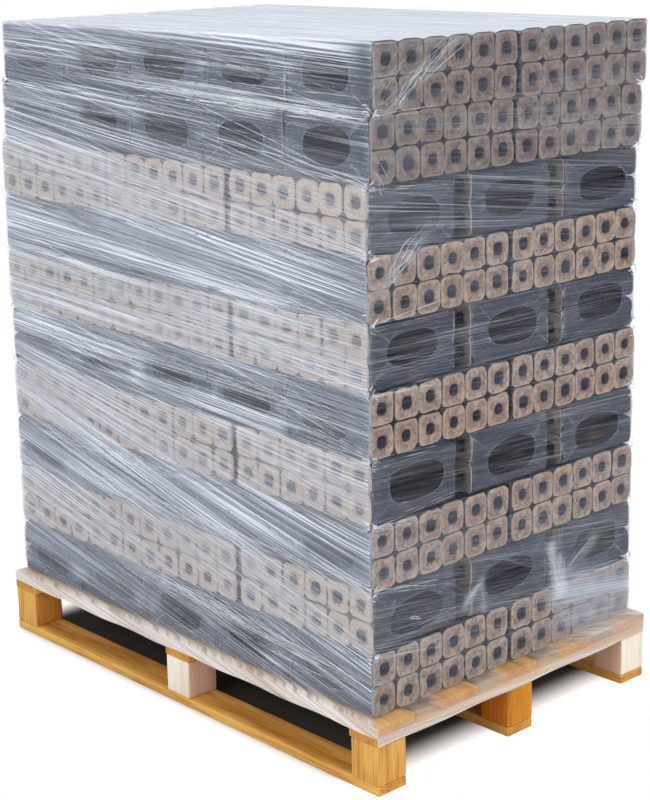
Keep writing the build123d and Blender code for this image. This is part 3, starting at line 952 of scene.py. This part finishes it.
def film_material(name, settings, clear):
    """Stretched film: a thin veil with sharp white streaks along its pull, in bundles, and bright folds."""
    nodes = Nodes(bpy.data.materials.new(name))
    flow, cross_flow = nodes.vector("flow"), nodes.vector("flow_cross")
    broad = nodes.grain(flow, (0.9, 18, 0), 2, 0.55)
    middle = nodes.grain(flow, (1.7, 230, 0), 2, 0.6)
    fine = nodes.grain(flow, (2.6, 470, 0), 1, 0.6)
    crossing = nodes.grain(cross_flow, (1.8, 260, 0), 1, 0.6)
    ridges = nodes.plus(nodes.ramp(middle, 0.55, 0.64, 0, 0.8), nodes.ramp(fine, 0.56, 0.68, 0, 0.62))
    ridges = nodes.times(ridges, nodes.ramp(broad, 0.36, 0.66, 0.18, 0.95))
    ridges = nodes.plus(ridges, nodes.ramp(crossing, 0.62, 0.72, 0, 0.38))
    white = nodes.times(nodes.calc("MINIMUM", ridges, 1.0), nodes.value("streaks"), True)
    veil = nodes.times(nodes.value("haze"), nodes.ramp(broad, 0.34, 0.66, 0.7, 1.2))
    veil = nodes.times(veil, nodes.ramp(middle, 0.32, 0.55, 0.75, 1.1))
    bright = nodes.plus(white, nodes.value("fold"), True)
    alpha = nodes.calc("MINIMUM", nodes.plus(veil, bright, True), 0.97)
    base = nodes.mix(nodes.value("warm"), clear, settings.warm)
    base = nodes.mix(nodes.ramp(middle, 0.54, 0.42, 0, 0.3), base, settings.shade)
    base = nodes.mix(bright, base, settings.streak)
    height = nodes.plus(nodes.times(middle, 1.2), nodes.times(fine, 0.6))
    nodes.shade(Base_Color=base, Alpha=alpha, Roughness=nodes.ramp(fine, 0.3, 0.7, 0.2, 0.4),
                Specular_IOR_Level=0.35, Normal=nodes.bump(height, 0.5, 0.003))
    return nodes.holder


def perimeter(low, high, radius, spans):
    """Points round a box in plan with round corners, and the outward way of each."""
    corners = [(high[0], low[1], -pi / 2), (high[0], high[1], 0), (low[0], high[1], pi / 2),
               (low[0], low[1], pi)]
    centres = [np.array([x - radius * (1 if x > 0 else -1), y - radius * (1 if y > 0 else -1)])
               for x, y, _ in corners]
    points, ways = [], []
    for side, (_, _, start) in enumerate(corners):
        for step in range(5):
            angle = start + step / 4 * pi / 2
            ways.append((cos(angle), sin(angle)))
            points.append(centres[side] + radius * np.array(ways[-1]))
        last, way = points[-1], ways[-1]
        target = centres[(side + 1) % 4] + radius * np.array(way)
        for step in range(1, spans[side % 2]):
            points.append(last + (target - last) * step / spans[side % 2])
            ways.append(way)
    return np.array(points), np.array(ways)


def side_of(ways):
    """The side that each outward way faces."""
    x, y = ways[:, 0], ways[:, 1]
    return np.where(np.abs(y) > np.abs(x), np.where(y < 0, 0, 2), np.where(x > 0, 1, 3))


class FilmRows:
    """The rows of points round the load that make its film, from the foot of the skirt to the top."""

    VALUES = ("flow", "flow_cross", "haze", "streaks", "fold", "warm")

    def __init__(self, layers, settings, rng):
        self.layers, self.settings, self.rng = layers, settings, rng
        self.low, self.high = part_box("stretch_wrap")
        self.deck_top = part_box("deck_board_1")[1].z
        self.spans = [int(round(2 * half / settings.column_pitch))
                      for half in (layers[0].half_across, layers[0].half_along)]
        self.outer_low = np.array(self.low[:2]) + SKIN_MARGIN
        self.outer_high = np.array(self.high[:2]) - SKIN_MARGIN
        self.ripple_phase, _, self.wave_phase, *_ = rng.uniform(0, tau, 6)
        self.rows = []

    def values_at(self, points, ways, height):
        """The values of the film at the points of one row round the load."""
        sides = side_of(ways)
        count = len(points)
        parts = [np.zeros((count, 3)), np.zeros((count, 3)), *(np.zeros(count) for _ in range(4))]
        for side in range(4):
            here = sides == side
            axis, _, way = SIDE_AXES[side]
            along = way * points[here, 1 - axis]
            values = film_values(self.layers, side, along, np.full(along.shape, height))
            for part, value in zip(parts, values):
                part[here] = value
        return parts

    def add(self, points, heights, flow, cross, haze, streaks, fold, warm):
        """Add a row from its points in plan, its heights and its values."""
        count = len(points)
        places = np.column_stack([points, np.broadcast_to(heights, count)])
        self.rows.append((places, flow, cross, haze, streaks, np.broadcast_to(fold, count), warm))

    def add_skirt(self):
        """The skirt over the edges of the deck, up to the foot of the load."""
        deck_top = self.deck_top
        foot_low, foot_high = film_box(self.layers, self.settings, self.layers[0].base + FOOT_HEIGHT)
        boards = [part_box(f"deck_board_{number}") for number in range(1, DECK_BOARDS + 1)]
        lowest = (self.low.z + LOWEST_SKIRT_LIFT - deck_top, 0.0, LOWEST_SKIRT_MILK)
        for rise, share_in, milk in (lowest, *SKIRT_ROWS):
            radius = SKIRT_CORNER_RADIUS + (self.settings.corner_radius - SKIRT_CORNER_RADIUS) * share_in
            points, ways = perimeter(self.outer_low + (foot_low - self.outer_low) * share_in,
                                     self.outer_high + (foot_high - self.outer_high) * share_in, radius,
                                     self.spans)
            flow, cross, _, streaks, _, _ = self.values_at(points, ways, deck_top + rise)
            x, y = points.T
            short = np.abs(ways[:, 0]) > 0.7
            hanging, on_ledge, on_load = rise < -0.015, 0 < rise < 0.012, rise > 0.01
            ripple = SKIRT_RIPPLE * np.sin(x * 31 + y * 27 + self.ripple_phase)
            z = deck_top + np.where(short, rise, max(rise, -LONG_SKIRT_DROP))
            z = z + ripple * hanging + 0.3 * np.abs(ripple) * on_ledge
            # On a short side the film is clearer over each board, most of all near the near corner
            on_board = sum(smooth_step(y, low.y - BOARD_SOFTNESS, low.y + BOARD_SOFTNESS)
                           * smooth_step(y, high.y + BOARD_SOFTNESS, high.y - BOARD_SOFTNESS)
                           for low, high in boards)
            bare = 0.85 - 0.65 * smooth_step(y, 0.0, 0.3)
            trailing = short * (x > 0) * (rise > 0.001) * smooth_step(y, 0.02, 0.30)
            milk = np.where(short, milk, 0.78 if rise < 0.0025 else milk * 2.2)
            over_ends = short * (not hanging and not on_load)
            milk = milk * np.where(over_ends, 1.3 - bare * on_board, 1.0) + 0.30 * trailing
            self.add(points, np.maximum(z, self.low.z), flow, cross, milk, streaks * 0.4,
                     0.14 if rise < -0.030 else 0.03, np.full(len(points), 1.0 - 0.9 * on_load))

    def add_walls(self):
        """The walls, drawn in where two layers meet and gathered at the upright edges."""
        heights = [layer.base + passed * LAYER_HEIGHT for layer in self.layers for passed in WALL_ROWS]
        for height in heights[SKIPPED_WALL_ROWS:-1]:
            low, high = film_box(self.layers, self.settings, height)
            points, ways = perimeter(low, high, self.settings.corner_radius, self.spans)
            seam = bell(min(abs(height - layer.base) for layer in self.layers[1:]), 0.010)
            dips = [float(film_dip(self.layers, self.settings, side, height)) for side in (0, 1)]
            inward = dips[0] * ways[:, 1] ** 2 + dips[1] * ways[:, 0] ** 2
            along = points[:, 0] + points[:, 1]
            inward += (0.0004 * np.sin(along * 23 + height * 60 + self.wave_phase)
                       + 0.0003 * np.sin(along * 51 - height * 95))
            corner = smooth_step(np.minimum(np.abs(ways[:, 0]), np.abs(ways[:, 1])), 0.0, 0.3)
            corner = np.convolve(np.concatenate([corner[-3:], corner, corner[:3]]),
                                 [0.1, 0.2, 0.25, 0.4, 0.25, 0.2, 0.1], "valid")
            corner = np.clip(corner, 0, 1)
            inward += corner * seam * GATHER_DEPTH
            points = np.clip(points - ways * inward[:, None], self.outer_low, self.outer_high)
            flow, cross, haze, streaks, warm, white = self.values_at(points, ways, height)
            fold = white + corner * (0.03 + 0.30 * seam * self.rng.uniform(0.2, 1.0, len(points)))
            self.add(points, height, flow, cross, haze, streaks, fold, warm)

    def add_brim(self):
        """The rows that turn in over the top edge of the load."""
        layers, radius = self.layers, self.settings.corner_radius
        low, high = film_box(layers, self.settings, layers[-1].base + LAYER_HEIGHT * TOP_REACH_SHARE)
        for depth, inset in BRIM_ROWS:
            height = self.high.z - depth
            points, ways = perimeter(low + inset, high - inset, radius, self.spans)
            points = np.clip(points, self.outer_low, self.outer_high)
            flow, cross, haze, streaks, warm, _ = self.values_at(points, ways, height)
            long_way = np.abs(ways[:, 1])
            sink = JOINT_SINK * joint_share(layers, points[:, 1]) * (1 - smooth_step(long_way, 0, 0.5))
            self.add(points, height - sink, flow, cross, haze + 0.2 * long_way, streaks,
                     0.03 + 0.09 * long_way, warm)

    def piece(self):
        """The film as one piece, closed round the load and open above and below."""
        points, *values = [np.concatenate(parts) for parts in zip(*self.rows)]
        shape = Shape(*self.VALUES)
        shape.add(points, grid_faces(len(self.rows), len(self.rows[0][0]), closed=True),
                  **dict(zip(self.VALUES, values)))
        material = film_material("stretched_film", self.settings, self.settings.film)
        return shape.piece("stretch_film_walls", material, 80)


def stretch_wrap(layers, settings, rng):
    """The film round the load: four walls in one band, drawn in between the layers, and the skirt."""
    film = FilmRows(layers, settings, rng)
    film.add_skirt()
    film.add_walls()
    film.add_brim()
    return finish_piece(film.piece(), "stretch_film", "stretch_wrap")


def joint_share(layers, y):
    """1 over a joint between two briquettes of the top layer, falling to 0 between joints."""
    from_gap = np.abs(y - layers[-1].centre.y) - LENGTHWISE_PLAN["side_gap"] / 2
    return (0.5 + 0.5 * np.cos(from_gap / BRIQUETTE_SIDE * tau)) ** 5


def top_sheet(layers, settings, rng):
    """The film sheet over the top of the load, lying in waves over the upper briquettes."""
    columns, rows = 150, 140
    inset, soft_edge = 0.005, 0.03
    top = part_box("stretch_wrap")[1].z - BRIM_ROWS[-1][0]
    low, high = film_box(layers, settings, layers[-1].base + LAYER_HEIGHT * TOP_REACH_SHARE)
    low, high = low + inset, high - inset
    x, y = np.meshgrid(np.linspace(low[0], high[0], columns), np.linspace(low[1], high[1], rows))
    phase = rng.uniform(0, tau, 5)
    waves = 0.5 + 0.5 * np.sin(y * 38 + 2.0 * np.sin(x * 2.4 + phase[0]) + phase[1])
    waves += 0.5 + 0.5 * np.sin(y * 83 + 1.5 * np.sin(x * 3.1 + phase[2]) + phase[3])
    beside = smooth_step(np.minimum(y - low[1], high[1] - y), 0.0, soft_edge)
    inside = smooth_step(np.minimum(x - low[0], high[0] - x), 0.0, soft_edge)
    sink = (JOINT_SINK - JOINT_SINK_LESS * inside) * joint_share(layers, y) * beside
    points = np.stack([x, y, top - sink - 0.0002 * waves * beside * inside], -1)
    flow = np.stack([x, y + 0.012 * np.sin(x * 2.1 + phase[4]), 0 * x], -1) + 33
    cross = np.stack([x, y + 0.10 * x, 0 * x], -1) + 41
    shape = Shape(*FilmRows.VALUES)
    shape.add(points, grid_faces(rows, columns), flow=flow.reshape(-1, 3), flow_cross=cross.reshape(-1, 3),
              haze=1.75, streaks=0.9, fold=0.02)
    material = film_material("top_film", settings, settings.top)
    return finish_piece(shape.piece("stretch_film_top", material, 80), "stretch_film")


def pleat_material(settings):
    """Gathered film: white ropes and folds, dense at their crests."""
    nodes = Nodes(bpy.data.materials.new("gathered_film"))
    place, dense = nodes.vector("flow"), nodes.value("dense")
    grain = nodes.grain(place, (9, 320, 0), 1, 0.6)
    broken = nodes.grain(place, (26, 26, 0), 2, 0.6)
    alpha = nodes.times(dense, nodes.ramp(grain, 0.3, 0.62, 0.45, 1.1))
    alpha = nodes.times(alpha, nodes.ramp(broken, 0.36, 0.56, 0.2, 1.1), True)
    base = nodes.mix(nodes.ramp(dense, 0.0, 0.3), settings.film, settings.streak)
    nodes.shade(Base_Color=base, Alpha=nodes.calc("MINIMUM", alpha, 0.96),
                Roughness=nodes.ramp(grain, 0.3, 0.7, 0.22, 0.4), Specular_IOR_Level=0.5,
                Normal=nodes.bump(grain, 0.5, 0.002))
    return nodes.holder


# Bunches of folds on a short side: start and stop as (along, height), width, density, count and spread
SHORT_SIDE_BUNCHES = (
    ((-0.335, 1.279), (-0.245, 1.350), 0.0014, 0.8, 13, 0.016),
    ((-0.285, 1.310), (-0.163, 1.397), 0.0014, 0.8, 12, 0.015),
    ((-0.370, 1.290), (-0.290, 1.375), 0.0013, 0.6, 8, 0.014),
    ((-0.160, 1.340), (-0.140, 1.395), 0.0012, 0.5, 5, 0.010),
    ((-0.372, 0.940), (-0.290, 1.000), 0.0014, 0.75, 12, 0.013),
    ((-0.345, 0.975), (-0.235, 1.050), 0.0014, 0.7, 10, 0.012),
    ((-0.375, 1.180), (-0.340, 1.125), 0.0014, 0.6, 8, 0.009),
    ((0.128, 0.350), (0.150, 0.247), 0.0020, 0.45, 14, 0.008),
    ((0.152, 0.332), (0.158, 0.250), 0.0020, 0.40, 12, 0.008),
    ((0.155, 0.276), (0.260, 0.335), 0.0018, 0.32, 10, 0.007),
    ((0.184, 0.269), (0.360, 0.268), 0.0020, 0.5, 4, 0.003),
    ((0.090, 0.340), (0.145, 0.275), 0.0014, 0.3, 6, 0.008),
    ((-0.060, 0.372), (0.148, 0.300), 0.0013, 0.3, 8, 0.009),
    ((-0.128, 0.305), (-0.084, 0.334), 0.0022, 0.5, 6, 0.004),
    ((-0.085, 0.333), (-0.076, 0.272), 0.0016, 0.3, 5, 0.005),
    ((-0.160, 0.308), (-0.162, 0.272), 0.0018, 0.35, 4, 0.003),
    ((-0.240, 0.372), (-0.100, 0.312), 0.0012, 0.3, 6, 0.009),
    ((-0.081, 0.289), (0.100, 0.262), 0.0012, 0.3, 5, 0.008),
    ((-0.290, 0.322), (-0.255, 0.306), 0.0022, 0.6, 4, 0.003),
    ((-0.345, 0.293), (-0.125, 0.292), 0.0013, 0.4, 6, 0.006),
    ((-0.370, 0.395), (-0.210, 0.380), 0.0013, 0.35, 5, 0.007),
    ((0.165, 0.245), (0.382, 0.180), 0.0013, 0.3, 12, 0.014),
    ((0.175, 0.225), (0.320, 0.150), 0.0014, 0.25, 8, 0.012),
)

# Bunches of folds on a long side, in the same order
LONG_SIDE_BUNCHES = (
    ((-0.132, 1.294), (0.574, 1.265), 0.0026, 0.8, 13, 0.010),
    ((-0.420, 1.310), (0.574, 1.258), 0.0020, 0.5, 9, 0.012),
    ((-0.415, 0.443), (0.574, 0.385), 0.0018, 0.65, 9, 0.012),
    ((-0.551, 0.504), (0.210, 0.495), 0.0018, 0.65, 9, 0.012),
    ((-0.427, 0.300), (0.574, 0.187), 0.0020, 0.75, 12, 0.012),
    ((-0.170, 0.271), (0.574, 0.207), 0.0020, 0.75, 9, 0.010),
    ((-0.560, 0.560), (0.574, 0.300), 0.0022, 0.6, 20, 0.024),
    ((-0.560, 0.530), (0.574, 0.240), 0.0020, 0.5, 16, 0.022),
    ((-0.560, 0.900), (0.574, 0.800), 0.0018, 0.55, 12, 0.016),
    ((-0.560, 0.740), (0.574, 0.700), 0.0018, 0.55, 12, 0.014),
    ((-0.560, 1.120), (0.574, 0.990), 0.0018, 0.5, 12, 0.016),
)

# The bunches of each kind of side, and how far from its middle its long folds, its bundles and its tufts
# reach, the tufts also standing in as painted glints on the edge: long first, then short
BUNCHES = (LONG_SIDE_BUNCHES, SHORT_SIDE_BUNCHES)
LONG_FOLD_REACH = (0.572, 0.380)
BUNDLE_REACH = (0.574, 0.382)
TUFT_AND_GLINT_REACH = (0.575, 0.383)
TUFTS_AND_GLINTS_PER_JOINT = 9

# A fold's ridge rises by this, or by a share of its width where that is less
RIDGE_RISE = 0.0011
RIDGE_SHARE = 0.3


class SideFolds:
    """The folds of the stretch film on one side of the load."""

    def __init__(self, shape, layers, settings, rng, side):
        self.shape, self.layers, self.settings, self.rng, self.side = shape, layers, settings, rng, side
        self.kind = side % 2
        self.long_side = self.kind == 0
        self.near_end = 1 if self.long_side else -1
        self.floor, self.top = layers[0].base, layers[-1].high.z

    def fold(self, start, stop, width, dense, sag, steps, ends=(0.25, 0.25)):
        """One fold from start to stop, as (along, height), raised along its middle, with tapered ends."""
        rng = self.rng
        t = np.linspace(0, 1, steps)
        way = np.array([stop[0] - start[0], stop[1] - start[1]])
        along = start[0] + way[0] * t
        height = start[1] + way[1] * t - sag * 4 * t * (1 - t)
        way = way / max(np.hypot(*way), 1e-6)
        taper = 1
        for end, passed in zip(ends, (t, 1 - t)):
            taper = taper * np.clip(end + (1 - end) * np.sin(np.clip(passed * 3, 0, 1) * pi / 2), 0, 1)
        half = width / 2 * taper * rng.uniform(0.8, 1.2, steps)
        lift = rng.uniform(0.0004, 0.0011)
        points = np.empty((steps, 3, 3))
        for row, (offset, rise) in enumerate(((-1, 0.0), (0, 1.0), (1, 0.0))):
            heights = np.clip(height + way[0] * half * offset, self.floor + 0.004, self.top - 0.002)
            points[:, row] = film_place(self.layers, self.settings, self.side, along - way[1] * half * offset,
                                        heights, lift + rise * min(RIDGE_RISE, width * RIDGE_SHARE) * taper)
        shade = np.tile([0.25, 1.0, 0.25], (steps, 1)) * dense
        shade = shade * np.minimum(1, np.minimum(t, 1 - t) * 10 + 0.25)[:, None]
        flow = np.stack([np.repeat(along[:, None], 3, 1), np.stack([-half, 0 * half, half], -1),
                         np.ones((steps, 3))], -1)
        self.shape.add(points, grid_faces(steps, 3), flow=(flow + rng.uniform(-20, 20, 3)).reshape(-1, 3),
                       dense=shade.ravel())

    def streak_drop(self, height):
        """How steeply the streak at a height falls along the side."""
        return from_table(STREAKS[self.kind], height)

    def long_folds(self):
        """Long single folds that follow the pull of the film."""
        rng, half = self.rng, LONG_FOLD_REACH[self.kind]
        count = self.settings.fold_count if self.long_side else self.settings.fold_count // 3
        for _ in range(count):
            middle = rng.uniform(self.floor + 0.02, self.top - 0.004)
            reach = rng.uniform(0.10, 0.55 if self.long_side else 0.40)
            centre = rng.uniform(-half, half)
            drop = self.streak_drop(middle) + rng.normal(0, 0.022)
            start, stop = max(centre - reach, -half), min(centre + reach, half)
            self.fold((start, middle + drop * start), (stop, middle + drop * stop),
                      rng.uniform(0.0008, 0.0021) * (1 if self.long_side else 0.75),
                      rng.uniform(0.2, 0.75) * (1 if self.long_side else 0.38), rng.normal(0, 0.003), 20)

    def corner_bundles(self):
        """Bundles of folds that run together at the near upright edge, where one layer meets the next."""
        rng = self.rng
        end = self.near_end * BUNDLE_REACH[self.kind]
        for layer in self.layers[1:]:
            for _ in range(rng.integers(7, 12) if self.long_side else rng.integers(4, 8)):
                foot = layer.base + rng.normal(0, 0.006)
                drop = self.streak_drop(foot) + rng.normal(-0.02 if self.long_side else 0.0, 0.07)
                run = rng.uniform(0.08, 0.55 if self.long_side else 0.26)
                far = end - self.near_end * run
                self.fold((far, foot - self.near_end * drop * run), (end, foot), rng.uniform(0.0010, 0.0024),
                          rng.uniform(0.3, 0.85) * (1 if self.long_side else 0.75), rng.normal(0, 0.002), 16,
                          (0.15, 0.8))

    def edge_tufts_and_glints(self, way):
        """Crumpled bright tufts of film at the upright edge on one way, at each joint of two layers, which
        also stand in as painted glints on the edge.
        """
        rng = self.rng
        for layer in self.layers[1:]:
            for _ in range(TUFTS_AND_GLINTS_PER_JOINT):
                end = way * (TUFT_AND_GLINT_REACH[self.kind] - abs(rng.normal(0, 0.004)))
                foot = layer.base + rng.normal(0, 0.007)
                turn = rng.normal(0.15, 0.55)
                size = rng.uniform(0.008, 0.024)
                along = end - way * size * cos(turn)
                self.fold((along, foot + size * sin(turn) * 0.7),
                          (end, foot - size * sin(turn) * rng.uniform(0, 0.5)), rng.uniform(0.0014, 0.0045),
                          rng.uniform(0.45, 0.9), rng.normal(0, 0.0015), 8, (0.1, 1.0))

    def placed_bunches(self):
        """Bunches of folds that lie close together, from the tables."""
        rng = self.rng
        for start, stop, width, dense, count, spread in BUNCHES[self.kind]:
            for _ in range(count):
                shift = rng.normal(0, spread, 4)
                self.fold((start[0] + shift[0], start[1] + shift[1] * 0.8),
                          (stop[0] + shift[2], stop[1] + shift[3] * 0.8), width * rng.uniform(0.6, 1.3),
                          dense * rng.uniform(0.6, 1.0), rng.normal(0, min(spread, 0.009)), 18)


def pleats(layers, settings, rng):
    """Every fold, bunch and tuft of the stretch film, the tufts at the upright edges also standing in as
    painted glints.
    """
    shape = Shape("flow", "dense")
    for side in range(4):
        folds = SideFolds(shape, layers, settings, rng, side)
        folds.long_folds()
        folds.corner_bundles()
        folds.edge_tufts_and_glints(folds.near_end)
        folds.edge_tufts_and_glints(-folds.near_end)
        folds.placed_bunches()
    return finish_piece(shape.piece("stretch_film_folds", pleat_material(settings), 60), "stretch_film")


def dress_layers(make_layer, material, settings):
    """Make a piece for every layer, each with random draws of its own."""
    for layer in layer_plans():
        make_layer(layer, settings, material, np.random.default_rng(settings.seed * 100 + layer.number))


class PALLETLOAD_OT_timber(Operator):
    """Dress the boards and blocks of the pallet as sawn wood"""
    bl_idname = "pallet_load.timber"
    bl_label = "Timber"

    def execute(self, context):
        settings = context.scene.pallet_load.timber
        grain, knot = settings.golden_dark, settings.knot
        golden = timber_material("golden_timber", settings, settings.golden, grain, knot)
        pale = timber_material("pale_timber", settings, settings.pale, settings.pale_dark, grain)
        deep_tone_and_shade = timber_material("deep_tone_and_shade_timber", settings, settings.deep_tone_and_shade, grain, knot)
        rng = np.random.default_rng(settings.seed)
        for name in sorted(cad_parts):
            if name.startswith(("bottom_board", "block", "cross_board", "deck_board")):
                material = pale if name in PALE_TIMBERS else deep_tone_and_shade if name in DEEP_TONE_AND_SHADE_TIMBERS else golden
                timber_piece(name, settings, material, rng)
        return {"FINISHED"}


class PALLETLOAD_OT_briquettes(Operator):
    """Build the bars of every layer, with their bores and worn ends"""
    bl_idname = "pallet_load.briquettes"
    bl_label = "Briquettes"

    def execute(self, context):
        settings = context.scene.pallet_load.briquettes
        dress_layers(briquette_layer, briquette_material(settings), settings)
        return {"FINISHED"}


class PALLETLOAD_OT_sleeves(Operator):
    """Stretch the shrunk film over the ends and sides of the packs"""
    bl_idname = "pallet_load.sleeves"
    bl_label = "Pack sleeves"

    def execute(self, context):
        settings = context.scene.pallet_load.sleeves
        dress_layers(sleeve_layer, sleeve_material(settings), settings)
        return {"FINISHED"}


class PALLETLOAD_OT_wrap(Operator):
    """Wind the stretch film round the load and lay the sheet over its top"""
    bl_idname = "pallet_load.wrap"
    bl_label = "Stretch film"

    def execute(self, context):
        settings = context.scene.pallet_load.wrap
        layers = layer_plans()
        rng = np.random.default_rng(settings.seed)
        stretch_wrap(layers, settings, rng)
        top_sheet(layers, settings, rng)
        return {"FINISHED"}


class PALLETLOAD_OT_pleats(Operator):
    """Gather the stretch film into folds, bunches and tufts, whose tufts on the upright edges also stand in
    as painted glints
    """
    bl_idname = "pallet_load.pleats"
    bl_label = "Film folds"

    def execute(self, context):
        settings = context.scene.pallet_load.wrap
        pleats(layer_plans(), settings, np.random.default_rng(settings.seed + 1))
        return {"FINISHED"}


# The floor's painted shadow, a dark patch under the pallet: its middle along X, and its half size
SHADOW_PATCH_MIDDLE_X = -0.05
SHADOW_PATCH_HALF = (0.51, 0.34, 0)
FLOOR_REACH = 12


def lay_floor(settings):
    """A white floor with a painted shadow under the pallet, which grows into plain light away from the load.
    """
    floor = bpy.data.meshes.new("floor")
    corners = [(x * FLOOR_REACH, y * FLOOR_REACH, 0) for x, y in ((-1, -1), (1, -1), (1, 1), (-1, 1))]
    floor.from_pydata(corners, [], [(0, 1, 2, 3)])
    stage_floor = bpy.data.objects.new("floor", floor)
    bpy.context.scene.collection.objects.link(stage_floor)
    nodes = Nodes(bpy.data.materials.new("floor_paint"))
    place = nodes.add("ShaderNodeTexCoord").outputs["Object"]
    away = nodes.move("ABSOLUTE", nodes.move("ADD", place, (-SHADOW_PATCH_MIDDLE_X, 0, 0)))
    away = nodes.move("MAXIMUM", nodes.move("SUBTRACT", away, SHADOW_PATCH_HALF))
    away = nodes.move("LENGTH", away, output="Value")
    # The glow that the camera sees starts a little way out from the patch, so the painted shadow fades out
    # softly
    glow = nodes.ramp(away, 0.012, 0.135, 0.0, 0.98)
    beyond = nodes.ramp(away, 0.17, 0.24)
    path = nodes.add("ShaderNodeLightPath").outputs
    seen = nodes.calc("MAXIMUM", path["Is Camera Ray"],
                      nodes.calc("MAXIMUM", path["Is Glossy Ray"], path["Is Transmission Ray"]))
    speck = nodes.ramp(nodes.noise(place, 30, 2), 0.3, 0.7, 0, 0.03)
    paint = nodes.mix(speck, settings.floor, (0.8, 0.8, 0.8))
    # Painted shadow: dark paint under the pallet, fading out within 0.12 m of the patch
    paint = nodes.mix(nodes.ramp(away, 0.0, 0.12, 0.97, 0), paint, (0.045, 0.045, 0.043))
    paint = nodes.mix(nodes.times(seen, beyond), paint, (0.0, 0.0, 0.0))
    nodes.shade(Base_Color=paint, Roughness=0.9, Specular_IOR_Level=0.0, Emission_Color=(1.0, 1.0, 1.0),
                Emission_Strength=nodes.times(seen, nodes.calc("MAXIMUM", glow, beyond)))
    floor.materials.append(nodes.holder)


def light_world(ambient):
    """Plain light all round, which the camera sees as white, also through the film."""
    world = bpy.data.worlds.new("studio")
    bpy.context.scene.world = world
    nodes = Nodes(world)
    nodes.tree.nodes.clear()
    plain = nodes.add("ShaderNodeBackground", {"Color": (0.96, 0.98, 1.0), "Strength": ambient}).outputs[0]
    white = nodes.add("ShaderNodeBackground", {"Color": (1, 1, 1), "Strength": 1}).outputs[0]
    path = nodes.add("ShaderNodeLightPath").outputs
    seen = nodes.calc("MAXIMUM", path["Is Camera Ray"], path["Is Transmission Ray"])
    both = nodes.add("ShaderNodeMixShader", {0: seen, 1: plain, 2: white}).outputs[0]
    nodes.add("ShaderNodeOutputWorld", {"Surface": both})


def add_lamp(name, place, aim, size, power):
    """A soft square lamp at place, turned to aim."""
    lamp = bpy.data.lights.new(name, "AREA")
    lamp.shape = "SQUARE"
    lamp.size = size
    lamp.energy = power
    holder = bpy.data.objects.new(name, lamp)
    holder.location = place
    holder.rotation_euler = (Vector(aim) - Vector(place)).to_track_quat("-Z", "Y").to_euler()
    bpy.context.scene.collection.objects.link(holder)


def place_camera(settings):
    """The camera at its place, turned by its azimuth, elevation and roll."""
    camera = bpy.data.cameras.new("camera")
    camera.lens = settings.camera_lens
    camera.sensor_width = 36
    camera.shift_y = settings.camera_shift
    camera.clip_end = 60
    holder = bpy.data.objects.new("camera", camera)
    azimuth, elevation, roll = settings.camera_azimuth, settings.camera_elevation, settings.camera_roll
    back = Vector((sin(azimuth) * cos(elevation), -cos(azimuth) * cos(elevation), sin(elevation)))
    right = Vector((cos(azimuth), sin(azimuth), 0))
    up = back.cross(right)
    across = right * cos(roll) + up * sin(roll)
    upright = up * cos(roll) - right * sin(roll)
    turn = Matrix((across, upright, back)).transposed().to_4x4()
    holder.matrix_world = Matrix.Translation(Vector(settings.camera_place)) @ turn
    bpy.context.scene.collection.objects.link(holder)
    bpy.context.scene.camera = holder


class PALLETLOAD_OT_stage(Operator):
    """Set up the floor, the lamps, the plain light all round and the camera"""
    bl_idname = "pallet_load.stage"
    bl_label = "Stage"

    def execute(self, context):
        settings = context.scene.pallet_load.stage
        lay_floor(settings)
        light_world(settings.ambient)
        middle = (0, 0, 0.7)
        add_lamp("key_lamp", (0.6, -3.6, 2.6), middle, 2.6, settings.key_power)
        add_lamp("fill_lamp", (3.8, 0.4, 0.9), (0, 0, 0.5), 2.4, settings.fill_power)
        add_lamp("top_lamp", (0.0, 0.0, 4.2), middle, 3.0, settings.top_power)
        place_camera(settings)
        context.scene.view_settings.view_transform = "Standard"
        return {"FINISHED"}


# Every step in order, with the group of settings that the panel shows under it
STEPS = {
    PALLETLOAD_OT_timber: "timber",
    PALLETLOAD_OT_briquettes: "briquettes",
    PALLETLOAD_OT_sleeves: "sleeves",
    PALLETLOAD_OT_wrap: "wrap",
    PALLETLOAD_OT_pleats: None,
    PALLETLOAD_OT_stage: "stage",
}


class PALLETLOAD_PT_panel(Panel):
    """Steps that dress the pallet load, with their sizes and colours"""
    bl_label = "Pallet load"
    bl_space_type = "VIEW_3D"
    bl_region_type = "UI"
    bl_category = "Pallet load"

    def draw(self, context):
        for operator, group in STEPS.items():
            box = self.layout.box()
            box.operator(operator.bl_idname)
            if group:
                values = getattr(context.scene.pallet_load, group)
                for name in values.bl_rna.properties.keys():
                    if name not in ("rna_type", "name"):
                        box.prop(values, name)


CLASSES = (TimberSettings, BriquetteSettings, SleeveSettings, WrapSettings, StageSettings, PalletLoadSettings,
           *STEPS, PALLETLOAD_PT_panel)


def register():
    for cls in CLASSES:
        bpy.utils.register_class(cls)
    bpy.types.Scene.pallet_load = PointerProperty(type=PalletLoadSettings)


def unregister():
    del bpy.types.Scene.pallet_load
    for cls in reversed(CLASSES):
        bpy.utils.unregister_class(cls)


def main():
    """Dress the load piece by piece."""
    register()
    bpy.ops.pallet_load.timber()
    bpy.ops.pallet_load.briquettes()
    bpy.ops.pallet_load.sleeves()
    bpy.ops.pallet_load.wrap()
    bpy.ops.pallet_load.pleats()
    bpy.ops.pallet_load.stage()


if __name__ == "__main__":
    main()
